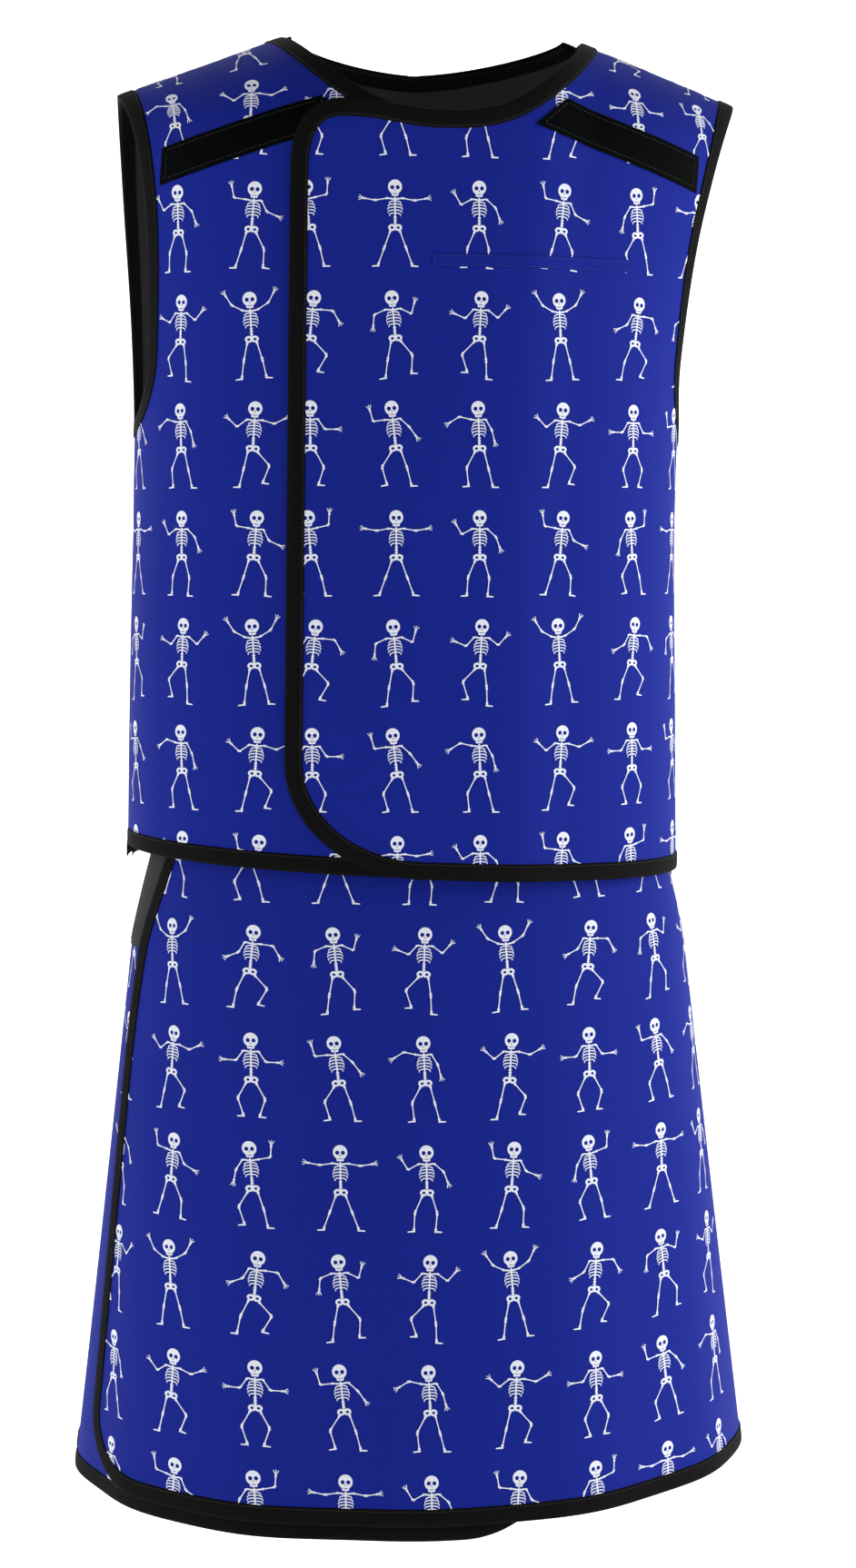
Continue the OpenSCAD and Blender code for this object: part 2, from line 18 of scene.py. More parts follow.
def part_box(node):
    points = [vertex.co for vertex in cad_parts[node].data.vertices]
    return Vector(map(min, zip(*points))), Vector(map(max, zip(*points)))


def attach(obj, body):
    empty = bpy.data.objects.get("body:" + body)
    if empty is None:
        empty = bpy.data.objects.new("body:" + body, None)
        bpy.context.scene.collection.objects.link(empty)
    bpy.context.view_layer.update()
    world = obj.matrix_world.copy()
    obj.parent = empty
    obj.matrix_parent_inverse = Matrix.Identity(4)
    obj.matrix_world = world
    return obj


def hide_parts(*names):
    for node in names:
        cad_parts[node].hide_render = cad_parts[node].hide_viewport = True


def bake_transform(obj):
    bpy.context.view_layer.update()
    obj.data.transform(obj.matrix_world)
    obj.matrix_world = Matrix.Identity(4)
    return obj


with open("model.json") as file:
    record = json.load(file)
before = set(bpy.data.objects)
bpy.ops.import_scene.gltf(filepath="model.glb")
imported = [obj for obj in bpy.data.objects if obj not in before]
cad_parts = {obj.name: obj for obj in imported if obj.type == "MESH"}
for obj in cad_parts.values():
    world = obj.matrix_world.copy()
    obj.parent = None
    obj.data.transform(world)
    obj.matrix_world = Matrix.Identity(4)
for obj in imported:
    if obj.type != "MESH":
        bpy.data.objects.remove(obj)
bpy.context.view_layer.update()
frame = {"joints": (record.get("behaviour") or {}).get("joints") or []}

# ---------------------------------------------------------------- driving dimensions
SHELL, CORE, LINING = (0.0025, 0.0030), (0.0006, 0.0020), (0.0, 0.0005)
SKIRT_LEN = -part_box("skirt_over_shell")[0].z
UNDER_LEN = -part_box("skirt_under_shell")[0].z
HEM_HALF_W = 0.255
HEM_HALF_D, WAIST_HALF_D = 0.197, 0.112
SIDE_SLOPE, HIP_CURVE = 0.11125, 0.033
BAND_H = -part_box("skirt_waistband")[0].z

HEM_Z, PIT_Z, SHOULDER_Z, NECK_Z = -0.137, 0.181, 0.430, 0.473
RUN = SHOULDER_Z - HEM_Z
CHEST_HALF_W, HIP_EASE, WAIST_IN_Z = 0.2035, 0.0045, 0.100
TIP_HALF_W, NECK_HALF_W = 0.231, 0.114
FRONT_DEPTH, BACK_DEPTH = (0.146, 0.132), (0.146, 0.116)
FRONT_NECK_Z, BACK_NECK_Z = 0.405, 0.458
FRONT_CURVE, BACK_CURVE = 2.4, 1.6
FRONT_FLARE, BACK_FLARE, ARM_DIP = 0.045, 0.050, 0.010
FLAT_N = 2.4
HEM_TILT, HEM_DIP = 0.05, 0.003
LEAN = (-0.005, 0.015)
RIDGE_SLOPE, RIDGE_Y, ROLL_H = 0.364, 0.005, 0.090
OVER_FOLD_X, OVER_EDGE_X, OVER_DRIFT = 0.072, -0.104, 0.009
UNDER_FOLD_X, UNDER_EDGE_X, UNDER_R = -0.045, 0.022, 0.040
OVER_LOW, OVER_TOP = (0.095, 0.076), (0.085, 0.090)
LAP, LIFT_FROM, LIFT_OVER = 0.006, 0.062, 0.050
TAPE_W = 0.012
FOLD_BEND = 0.013          # half width of the stretch of cloth that turns at a fold


def smooth(q):
    c = np.clip(q, 0, 1)
    return c * c * (3 - 2 * c)


def mix(a, b, k):
    return a + (b - a) * k


# ---------------------------------------------------------------- the vest's surface
def rise(w):
    return np.maximum(0, (HEM_Z + w - PIT_Z) / (SHOULDER_Z - PIT_Z))


def lean(w):
    return mix(LEAN[0], LEAN[1], (np.maximum(0, w) / RUN) ** 3)


def half_w(side, w):
    flare = np.where(side < 0, FRONT_FLARE * rise(w) ** 1.6, BACK_FLARE * rise(w) ** 1.2)
    return CHEST_HALF_W + flare + HIP_EASE * np.clip((WAIST_IN_Z - HEM_Z - w) / (WAIST_IN_Z - HEM_Z), 0, 1)


def depth(side, w):
    front, back = mix(*FRONT_DEPTH, w / RUN), mix(*BACK_DEPTH, w / RUN)
    return np.where(side < 0, front, back)


def side_r(side, w):
    h = rise(w)
    front = CHEST_HALF_W + (TIP_HALF_W - CHEST_HALF_W) * h ** 4
    front = front - ARM_DIP * (1 - (1 - np.minimum(1, 5 * h)) ** 2) * (1 - h)
    back = CHEST_HALF_W + (TIP_HALF_W - CHEST_HALF_W) * h ** 1.4
    return np.where(h <= 0, half_w(side, w), np.where(side < 0, front, back))


def ridge_at(r):
    return NECK_Z - RIDGE_SLOPE * (np.abs(r) - NECK_HALF_W)


def top_at(side, r):
    q = np.minimum(1, np.abs(r) / NECK_HALF_W)
    front, back = mix(FRONT_NECK_Z, NECK_Z, q ** FRONT_CURVE), mix(BACK_NECK_Z, NECK_Z, q ** BACK_CURVE)
    return np.where(np.abs(r) >= NECK_HALF_W, ridge_at(r), np.where(side < 0, front, back))


def hem_at(side, r):
    dip = HEM_DIP * np.maximum(0, 1 - (r / CHEST_HALF_W) ** 2)
    return HEM_Z - HEM_TILT * r - np.where(side < 0, dip, 0)


def ease_of_cloth(x, z):
    """The slight in and out of every layer of the vest alike."""
    upright = np.sin(31 * x + 0.9 + 1.2 * np.sin(7 * z)) * np.cos(9 * z + 0.4)
    level = np.sin(19 * z + 3 * np.sin(11 * x))
    return (0.00045 * upright + 0.00025 * level) * smooth((0.36 - z) / 0.12)


def run_of(side, r, z):
    return (z - hem_at(side, r)) / (top_at(side, r) - hem_at(side, r)) * RUN


def height_of(side, r, w):
    return mix(hem_at(side, r), top_at(side, r), w / RUN)


def drop_point(side, r, drop, t):
    """A point of the vest a drop below the shoulder line."""
    z0 = ridge_at(r) - drop
    w = np.clip(run_of(side, r, z0), -0.01, RUN)
    wide = half_w(side, w)
    cosine = np.clip(1 - drop / ROLL_H, 0, 1)
    sine = np.sqrt(1 - cosine ** 2)
    t = t + ease_of_cloth(r, z0)
    rr = r + t * np.sign(r) * np.minimum(1, np.abs(r) / wide) ** 3
    q = np.maximum(0, 1 - np.minimum(1, np.abs(rr) / (wide + t)) ** FLAT_N) ** (1 / FLAT_N)
    y = RIDGE_Y * (1 - sine) + side * (depth(side, w) + t) * q * sine
    return np.stack(np.broadcast_arrays(rr + lean(w), y, z0 + t * cosine), -1)


def left_lift(r):
    return LAP * (1 - smooth((r - LIFT_FROM) / LIFT_OVER))


def drop_in(side, r, drop, t, lifted=False):
    return drop_point(side, r, drop, t + (left_lift(r) if lifted else 0))


def vest_point(side, r, w, t, lifted=False):
    return drop_in(side, r, ridge_at(r) - height_of(side, r, w), t, lifted)


# (b, v) is a way round the vest with no singular edge: b is the angle round the flattened section,
# v the angle over the shoulder, carried on downwards, and its sign is the side
V_STEP = 0.13
TURN_HALF_W = CHEST_HALF_W + (FRONT_FLARE + BACK_FLARE) / 2


def drop_of(v):
    v = np.abs(v)
    return np.where(v < np.pi / 2, ROLL_H * (1 - np.cos(v)), ROLL_H + (v - np.pi / 2) * V_STEP)


def v_of(side, r, z):
    d = ridge_at(r) - z
    roll = np.arccos(np.clip(1 - d / ROLL_H, -1, 1))
    return side * np.where(d < ROLL_H, roll, np.pi / 2 + (d - ROLL_H) / V_STEP)


def turn_w(side, r, z):
    """The half width that b is taken from: the panel's own, and one for both sides at the shoulder line."""
    near = smooth(1 - (ridge_at(r) - z) / ROLL_H)
    return mix(half_w(side, np.clip(run_of(side, r, z), 0, RUN)), TURN_HALF_W, near)


def b_of(side, r, z):
    wide = turn_w(side, r, z)
    return np.sign(r) * np.arcsin(np.minimum(1, np.abs(r) / wide) ** (FLAT_N / 2))


def vest_round(b, v, t, lifted=False):
    side = np.where(v < 0, -1, 1)
    d = drop_of(v)
    share = np.sign(b) * np.abs(np.sin(b)) ** (2 / FLAT_N)
    r = share * CHEST_HALF_W
    for _ in range(5):
        r = share * turn_w(side, r, ridge_at(r) - d)
    lift = np.where((side < 0), left_lift(r), 0) if lifted else 0
    return drop_point(side, r, d, t + lift)


# ---------------------------------------------------------------- the skirt's surface
def skirt_w(z):
    return HEM_HALF_W - SIDE_SLOPE * (z + SKIRT_LEN) - HIP_CURVE * np.maximum(0, 1 + z / 0.2) ** 1.2


def skirt_d(z):
    return WAIST_HALF_D - (HEM_HALF_D - WAIST_HALF_D) * z / SKIRT_LEN


def over_lift(a):
    return LAP * smooth((90 - a) / 35)


def skirt_point(a, z, t, lifted=False):
    s = np.radians(a)
    low = np.clip((-z - 0.16) / 0.44, 0, 1.1) ** 1.5
    t = t + (over_lift(a) if lifted else 0)
    t = t + low * (0.0021 * np.sin(6 * s + 0.7 + 2 * z) + 0.0011 * np.sin(13 * s + 2.1))
    return np.stack(np.broadcast_arrays((skirt_w(z) + t) * np.sin(s), -(skirt_d(z) + t) * np.cos(s), z), -1)


def round_in(q, high, reach):
    return np.where(q < high, reach * (1 - np.sqrt(np.maximum(0, 1 - (1 - q / high) ** 2))), 0)


def free_a(z):
    return -74 + 6 * np.maximum(0, (z + 0.3) / 0.16) ** 2 + round_in(z + SKIRT_LEN, 0.05, 20)


def under_a(z):
    return 20 - round_in(z + UNDER_LEN, 0.06, 16)


def over_x(w):
    return (mix(OVER_EDGE_X, OVER_EDGE_X + OVER_DRIFT, w / RUN) + round_in(w, OVER_LOW[1], OVER_LOW[0])
            + round_in(RUN - w, OVER_TOP[1], OVER_TOP[0]))


def under_x(w):
    return UNDER_EDGE_X - round_in(w, UNDER_R, UNDER_R) - round_in(RUN - w, UNDER_R, UNDER_R)


# ---------------------------------------------------------------- meshes
CLOTH_SLOT, THREAD_SLOT = 0, 1
MM = 0.001


def lengths(points):
    return np.concatenate([[0], np.cumsum(np.linalg.norm(np.diff(points, axis=0), axis=1))])


def build(name, verts, faces, cloth, materials, slots=None, sharp=40):
    """A closed mesh with outward faces. cloth is each vertex's place on the fabric, in metres."""
    verts = np.asarray(verts, float)
    first = np.array([f[:3] for f in faces])
    a, b, c = (verts[first[:, i]] for i in range(3))
    last = np.array([f[-1] for f in faces])
    second = np.array([f[2] for f in faces])
    volume = np.einsum("ij,ij->i", a, np.cross(b, c)).sum()
    volume += np.einsum("ij,ij->i", a, np.cross(verts[second], verts[last])).sum()
    if volume < 0:
        faces = [f[::-1] for f in faces]
    mesh = bpy.data.meshes.new(name)
    mesh.from_pydata(verts.tolist(), [], [list(f) for f in faces])
    mesh.shade_smooth()
    mesh.set_sharp_from_angle(angle=math.radians(sharp))
    attribute = mesh.attributes.new("cloth", "FLOAT_VECTOR", "POINT")
    place = np.zeros((len(verts), 3), np.float32)
    place[:, :2] = cloth
    attribute.data.foreach_set("vector", place.ravel())
    for m in materials:
        mesh.materials.append(m)
    if slots is not None:
        mesh.polygons.foreach_set("material_index", np.asarray(slots, np.int32))
    obj = bpy.data.objects.new(name, mesh)
    bpy.context.scene.collection.objects.link(obj)
    return obj


def join_parts(parts):
    """Several (verts, faces, cloth, slot) as one, for build."""
    verts, faces, cloth, slots, start = [], [], [], [], 0
    for v, f, c, s in parts:
        verts.append(v)
        cloth.append(c)
        faces += [[i + start for i in face] for face in f]
        slots += [s] * len(f)
        start += len(v)
    return np.concatenate(verts), faces, np.concatenate(cloth), slots


def slab_part(at, us, ws, ts):
    """A closed slab between two offsets of a surface. us may be a function of ws."""
    n, m = us.shape[-1], len(ws)
    w = np.repeat(ws[:, None], n, 1)
    u = np.broadcast_to(us, (m, n))
    skins = [at(u, w, np.full(u.shape, t)) for t in ts]
    across = np.concatenate([np.zeros((m, 1)), np.cumsum(np.linalg.norm(np.diff(skins[1], axis=1), axis=2), 1)], 1)
    along = np.concatenate([np.zeros((1, n)), np.cumsum(np.linalg.norm(np.diff(skins[1], axis=0), axis=2), 0)], 0)
    across = across - across[:, n // 2:n // 2 + 1]
    cloth = np.stack([across, along], -1).reshape(-1, 2)
    k = n * m
    grid = np.arange(k).reshape(m, n)
    a, b, c, d = grid[:-1, :-1], grid[:-1, 1:], grid[1:, 1:], grid[1:, :-1]
    quads = np.stack([a, b, c, d], -1).reshape(-1, 4)
    rim = np.concatenate([grid[0, :-1], grid[:-1, -1], grid[-1, :0:-1], grid[:0:-1, 0]])
    nxt = np.roll(rim, -1)
    faces = quads[:, ::-1].tolist() + (quads + k).tolist() + np.stack([rim, nxt, nxt + k, rim + k], -1).tolist()
    verts = np.concatenate([s.reshape(-1, 3) for s in skins])
    return verts, faces, np.concatenate([cloth, cloth]), CLOTH_SLOT


def flat_size(at, us, ws):
    """Width, length and area of a panel laid flat, in metres."""
    w = np.repeat(ws[:, None], us.shape[-1], 1)
    p = at(np.broadcast_to(us, w.shape), w, np.zeros(w.shape))
    across, along = (np.linalg.norm(np.diff(p, axis=i), axis=2) for i in (1, 0))
    diagonals = np.cross(p[1:, 1:] - p[:-1, :-1], p[1:, :-1] - p[:-1, 1:])
    area = np.linalg.norm(diagonals, axis=2).sum() / 2
    return round(float(across.sum(1).max()), 3), round(float(along.sum(0).max()), 3), round(float(area), 4)


# ---------------------------------------------------------------- folded edge tape
TAPE_OUT = [(12, 3.2), (11.4, 3.75), (10, 3.95), (6, 4.05), (2, 3.95), (0.4, 3.75), (-0.5, 3.3), (-0.95, 2.4),
            (-1.05, 1.4), (-0.95, 0.4), (-0.5, -0.35), (0.4, -0.75), (2, -0.9), (6, -0.95), (10, -0.9),
            (11.4, -0.75), (12, -0.2)]
TAPE_IN = [(max(c, -0.05), min(max(t, -0.04), 3.04)) for c, t in TAPE_OUT]
RING_STEP = 0.0045
ROUND_STEP = 0.0022        # cloth length from one corner of the tape's profile to the next
MID_T = 0.0015             # half way through a panel, where edges are measured
PROBE = 0.0015             # how far in from an edge its inward direction is taken


def even(at, path, closed):
    """The path resampled to even steps along the surface. A closed one leaves out its repeated end."""
    s = lengths(at(path[:, 0], path[:, 1], MID_T))
    n = max(3, int(round(s[-1] / RING_STEP)) + 1)
    want = np.linspace(0, s[-1], n)[:-1 if closed else None]
    return np.stack([np.interp(want, s, path[:, i]) for i in (0, 1)], 1)


def inward_steps(at, path, sign, closed):
    """For each point of the path, the step in surface coordinates that goes one metre in from the edge."""
    if closed:
        d = np.roll(path, -1, 0) - np.roll(path, 1, 0)
        d[0] = d[1]
        d[-1] = d[-2]
    else:
        d = np.gradient(path, axis=0)
    guess = np.stack([-d[:, 1], d[:, 0]], 1) * sign
    size = np.linalg.norm(at(*(path + guess * 1e-3).T, MID_T) - at(*path.T, MID_T), axis=1) / 1e-3
    near = path + guess * (PROBE / size)[:, None]
    h = 2e-4
    ju = (at(near[:, 0] + h, near[:, 1], MID_T) - at(near[:, 0] - h, near[:, 1], MID_T)) / (2 * h)
    jv = (at(near[:, 0], near[:, 1] + h, MID_T) - at(near[:, 0], near[:, 1] - h, MID_T)) / (2 * h)
    along = ju * d[:, :1] + jv * d[:, 1:]
    along /= np.linalg.norm(along, axis=1)[:, None]
    toward = ju * guess[:, :1] + jv * guess[:, 1:]
    toward -= along * np.einsum("ij,ij->i", toward, along)[:, None]
    toward /= np.linalg.norm(toward, axis=1)[:, None]
    g11, g12, g22 = ((p * q).sum(1) for p, q in ((ju, ju), (ju, jv), (jv, jv)))
    r1, r2 = (ju * toward).sum(1), (jv * toward).sum(1)
    det = g11 * g22 - g12 ** 2
    steps_in = np.stack([(r1 * g22 - r2 * g12) / det, (r2 * g11 - r1 * g12) / det], 1)
    steps_in[0], steps_in[-1] = steps_in[1], steps_in[-2]
    return steps_in


def rings_along(at, path, sign, profile, closed=False):
    inward = inward_steps(at, path, sign, closed)
    base = at(path[:, 0], path[:, 1], 0.0)
    far = path + inward * TAPE_W
    scale = TAPE_W / np.linalg.norm(at(far[:, 0], far[:, 1], 0.0) - base, axis=1)
    rings = []
    for c, t in profile:
        k = inward * (c * MM * (scale if c > 0 else 1 + 0 * scale))[:, None]
        rings.append(at(path[:, 0] + k[:, 0], path[:, 1] + k[:, 1], t * MM))
    return np.stack(rings, 1)


def tape_part(at, path, sign, closed=False):
    """A tape folded over the edge: its skin, with the cloth place running along and round it."""
    path = even(at, path, closed)
    m = len(TAPE_OUT)
    rings = rings_along(at, path, sign, TAPE_OUT + TAPE_IN[::-1], closed)
    n = len(rings)
    along = np.arange(n) * RING_STEP
    round_it = np.concatenate([np.arange(m), np.arange(m)[::-1]]) * ROUND_STEP
    cloth = np.stack(np.meshgrid(along, round_it, indexing="ij"), -1).reshape(-1, 2)
    ids = np.arange(n * 2 * m).reshape(n, 2 * m)
    here, there = (ids, np.roll(ids, -1, 0)) if closed else (ids[:-1], ids[1:])
    faces = np.stack([here, np.roll(here, -1, 1), np.roll(there, -1, 1), there], -1).reshape(-1, 4).tolist()
    if not closed:
        for end in (ids[0], ids[-1]):
            caps = [[end[j], end[j + 1], end[2 * m - 2 - j], end[2 * m - 1 - j]] for j in range(m - 1)]
            faces += [c if end is ids[-1] else c[::-1] for c in caps]
    return rings.reshape(-1, 3), faces, cloth, CLOTH_SLOT


STITCH_STEP, STITCH_LEN, STITCH_R = 0.0031, 0.0023, 0.00024


def stitches(points, normals):
    """Short stitches laid along a line, each a slim closed bead sunk at its ends."""
    s = lengths(points)
    count = int(s[-1] / STITCH_STEP)
    mid = (np.arange(count) + 0.5) * STITCH_STEP
    at = lambda q: np.stack([np.interp(q, s, points[:, i]) for i in range(3)], 1)
    a, b = at(mid - STITCH_LEN / 2), at(mid + STITCH_LEN / 2)
    up = np.stack([np.interp(mid, s, normals[:, i]) for i in range(3)], 1)
    up /= np.linalg.norm(up, axis=1)[:, None]
    aside = np.cross(b - a, up)
    aside /= np.linalg.norm(aside, axis=1)[:, None]
    shares = [(0.0, 0.25, -0.5), (0.18, 0.9, 0.1), (0.5, 1.0, 0.3), (0.82, 0.9, 0.1), (1.0, 0.25, -0.5)]
    sides = 6
    verts = np.zeros((count, len(shares), sides, 3))
    for i, (k, size, high) in enumerate(shares):
        for j in range(sides):
            angle = 2 * np.pi * j / sides
            verts[:, i, j] = (mix(a, b, k) + up * STITCH_R * (high + size * np.cos(angle))
                              + aside * STITCH_R * size * np.sin(angle))
    one = []
    for i in range(len(shares) - 1):
        for j in range(sides):
            k = (j + 1) % sides
            one.append([i * sides + j, i * sides + k, (i + 1) * sides + k, (i + 1) * sides + j])
    one.append(list(range(sides))[::-1])
    one.append([(len(shares) - 1) * sides + j for j in range(sides)])
    step_of = len(shares) * sides
    faces = [[i + k * step_of for i in f] for k in range(count) for f in one]
    return verts.reshape(-1, 3), faces, np.zeros((count * step_of, 2)), THREAD_SLOT


def seam_part(at, path, sign, across, t, closed=False):
    """A row of stitches a set distance in from an edge."""
    path = even(at, path, closed)
    low, high = (rings_along(at, path, sign, [(across, q)], closed)[:, 0] for q in (t, t + 0.5))
    return stitches(low, high - low)


def line_part(at, u0, w0, u1, w1, t):
    """A row of stitches straight from one surface point to another, at t mm."""
    u, w = np.linspace(u0, u1, 60), np.linspace(w0, w1, 60)
    low, high = at(u, w, t * MM), at(u, w, (t + 0.5) * MM)
    return stitches(low, high - low)


# ---------------------------------------------------------------- materials
def nodes_of(name):
    m = bpy.data.materials.new(name)
    m.use_nodes = True
    tree = m.node_tree
    return m, tree, tree.nodes["Principled BSDF"]


def put(shader, values):
    for socket, value in values.items():
        shader.inputs[socket].default_value = value


class Maker:
    """Short calls for the few kinds of node that the fabrics use."""

    def __init__(self, tree):
        self.tree = tree

    def add(self, kind, inputs=(), **settings):
        n = self.tree.nodes.new(kind)
        for k, v in settings.items():
            setattr(n, k, v)
        for key, value in dict(inputs).items():
            if isinstance(value, bpy.types.NodeSocket):
                self.tree.links.new(value, n.inputs[key])
            else:
                n.inputs[key].default_value = value
        return n.outputs

    def math(self, operation, a, b=0.0):
        return self.add("ShaderNodeMath", {0: a, 1: b}, operation=operation)[0]

    def wave(self, coordinate, pitch):
        turned = self.math("MULTIPLY_ADD", coordinate, 2 * math.pi / pitch)
        turned.node.inputs[2].default_value = 0.0
        return self.math("SINE", turned)

    def ramp(self, share, dark, light, target):
        colour = self.add("ShaderNodeValToRGB", {"Fac": share})["Color"]
        for stop, tone in zip(colour.node.color_ramp.elements, (dark, light)):
            stop.color = (*tone, 1)
        self.tree.links.new(colour, target)


def fabric(name, dark, light, roughness, weave, depth_mm, sheen=0.0, twill=0.0, patchy=0.35, specular=0.3,
           wrinkle_mm=0.0):
    """Woven cloth: crossing threads of a given pitch from the cloth place, slow colour drift, thread grain."""
    m, tree, bsdf = nodes_of(name)
    k = Maker(tree)
    place = k.add("ShaderNodeAttribute", attribute_name="cloth")["Vector"]
    split = k.add("ShaderNodeSeparateXYZ", {0: place})
    along, across = split["X"], split["Y"]
    if twill:
        across = k.math("ADD", across, k.math("MULTIPLY", along, twill))
    threads = k.math("MULTIPLY", k.wave(along, weave[0]), k.wave(across, weave[1]))
    shape = k.add("ShaderNodeTexCoord")["Object"]
    drift = k.add("ShaderNodeTexNoise", {"Vector": shape, "Scale": 7.0, "Detail": 3.0, "Roughness": 0.5})[0]
    grain = k.add("ShaderNodeTexNoise", {"Vector": shape, "Scale": 1400.0, "Detail": 2.0})[0]
    share = k.math("MULTIPLY_ADD", drift, patchy)
    share.node.inputs[2].default_value = 0.5 - patchy / 2
    share = k.math("ADD", share, k.math("MULTIPLY", k.math("SUBTRACT", grain, 0.5), 0.5))
    share = k.math("ADD", share, k.math("MULTIPLY", threads, 0.16))
    k.ramp(share, dark, light, bsdf.inputs["Base Color"])
    rough = k.math("MULTIPLY_ADD", grain, 0.14)
    rough.node.inputs[2].default_value = roughness - 0.07
    tree.links.new(rough, bsdf.inputs["Roughness"])
    height = k.math("ADD", threads, k.math("MULTIPLY", grain, 0.8))
    bump = k.add("ShaderNodeBump", {"Height": height, "Distance": depth_mm * MM, "Strength": 0.5})[0]
    if wrinkle_mm:
        creases = k.add("ShaderNodeTexNoise", {"Vector": shape, "Scale": 16.0, "Detail": 3.0, "Distortion": 0.6})[0]
        bump = k.add("ShaderNodeBump", {"Height": creases, "Distance": wrinkle_mm * MM, "Strength": 0.5,
                                        "Normal": bump})[0]
    tree.links.new(bump, bsdf.inputs["Normal"])
    put(bsdf, {"Specular IOR Level": specular, "Sheen Weight": sheen, "Sheen Roughness": 0.4})
    return m


def pile(name, dark, light, scale, depth_mm, roughness):
    """Hook or loop tape: a field of small stiff points or loops."""
    m, tree, bsdf = nodes_of(name)
    k = Maker(tree)
    shape = k.add("ShaderNodeTexCoord")["Object"]
    cells = k.add("ShaderNodeTexVoronoi", {"Vector": shape, "Scale": scale})[0]
    fuzz = k.add("ShaderNodeTexNoise", {"Vector": shape, "Scale": scale * 1.7, "Detail": 3.0})[0]
    share = k.math("ADD", k.math("MULTIPLY", cells, 0.6), k.math("MULTIPLY", fuzz, 0.5))
    k.ramp(share, dark, light, bsdf.inputs["Base Color"])
    bump = k.add("ShaderNodeBump", {"Height": share, "Distance": depth_mm * MM, "Strength": 0.9})[0]
    tree.links.new(bump, bsdf.inputs["Normal"])
    put(bsdf, {"Roughness": roughness, "Specular IOR Level": 0.25})
    return m


BLUE = fabric("printed_cloth", (0.0038, 0.0128, 0.225), (0.0056, 0.0172, 0.275), 0.72, (0.0009, 0.0009), 0.10,
              specular=0.10, wrinkle_mm=0.7)
INK = fabric("print_ink", (0.70, 0.73, 0.82), (0.86, 0.88, 0.95), 0.6, (0.0009, 0.0009), 0.05, specular=0.1)
TAPE = fabric("binding_tape", (0.0015, 0.0015, 0.0018), (0.0048, 0.0048, 0.0054), 0.78, (0.0011, 0.0044), 0.10,
              twill=0.35, specular=0.07)
WEB = fabric("shoulder_webbing", (0.0004, 0.0006, 0.0008), (0.0012, 0.0016, 0.0020), 0.7, (0.0018, 0.0012), 0.16,
             twill=0.5, specular=0.03)
GREY = fabric("grey_lining_cloth", (0.020, 0.021, 0.023), (0.038, 0.039, 0.042), 0.7, (0.0007, 0.0007), 0.07,
              specular=0.15)
VINYL = fabric("shielding_vinyl", (0.24, 0.25, 0.27), (0.34, 0.35, 0.37), 0.5, (0.004, 0.004), 0.03)
FOAM = fabric("pad_cover", (0.055, 0.058, 0.062), (0.09, 0.094, 0.10), 0.8, (0.0014, 0.0014), 0.14, sheen=0.1)
POCKET = fabric("pocketing", (0.006, 0.006, 0.008), (0.013, 0.013, 0.016), 0.7, (0.0009, 0.0009), 0.06)
THREAD = fabric("stitch_thread", (0.010, 0.010, 0.011), (0.028, 0.028, 0.030), 0.6, (0.0005, 0.0004), 0.05)
BLUE_THREAD = fabric("blue_thread", (0.012, 0.020, 0.16), (0.020, 0.034, 0.24), 0.6, (0.0005, 0.0004), 0.05)
LOOP = pile("loop_pile", (0.012, 0.013, 0.015), (0.034, 0.036, 0.040), 900.0, 0.5, 0.9)
HOOK = pile("hook_pile", (0.004, 0.004, 0.005), (0.014, 0.014, 0.016), 650.0, 0.6, 0.5)

# ---------------------------------------------------------------- how pieces move
OVER = ("vest", "over_flap", (OVER_FOLD_X + FOLD_BEND, 0, 0), (OVER_FOLD_X - FOLD_BEND, 0, 0))
UNDER = ("vest", "under_flap", (UNDER_FOLD_X - FOLD_BEND, 0, 0), (UNDER_FOLD_X + FOLD_BEND, 0, 0))


FOLD_MIDDLE = (-48.0, -0.38)
CORNER_Z = -0.5


def corner_bend():
    """The skirt's corner turns about an oblique line: the bend runs across it, along the cloth."""
    joint = next(j for j in frame["joints"] if j["name"] == "skirt_corner_fold")
    axis, pivot = Vector(joint["axis"]).normalized(), Vector(joint["pos_m"])
    inner, outer = (Vector(skirt_point(*FOLD_MIDDLE, t, True).tolist()) for t in (0.0, 0.01))
    out = outer - inner
    out -= axis * out.dot(axis)
    across = axis.cross(out).normalized()
    corner = Vector(skirt_point(float(free_a(CORNER_Z)), CORNER_Z, 0.0, True).tolist())
    if (corner - pivot).dot(across) < 0:
        across = -across
    return ("skirt", "skirt_corner", tuple(pivot - across * FOLD_BEND), tuple(pivot + across * FOLD_BEND))


CORNER = corner_bend()


def goes(obj, way, slot, *nodes):
    """way is a body's name or a bend; nodes are the CAD nodes that obj stands for."""
    if isinstance(way, str):
        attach(obj, way)
    else:
        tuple(way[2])
        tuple(way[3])
        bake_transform(obj)
    if nodes:
        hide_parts(*nodes)
    return obj


# ---------------------------------------------------------------- panels
def bunch(n, reach):
    """n steps over reach that close up quadratically towards its end."""
    return reach * (1 - (1 - np.arange(1, n + 1) / n) ** 2)


def ring_steps(lo, hi, wide, n):
    """Columns from lo to hi spread by angle round the flattened section."""
    angle = lambda r: np.arcsin(np.minimum(1, np.abs(r) / wide) ** (FLAT_N / 2))
    b = mix(angle(lo), angle(hi), np.linspace(0, 1, n))
    return wide * np.sin(b) ** (2 / FLAT_N)


CLOSE_R = 0.012            # columns close up over this much either side of a neck point


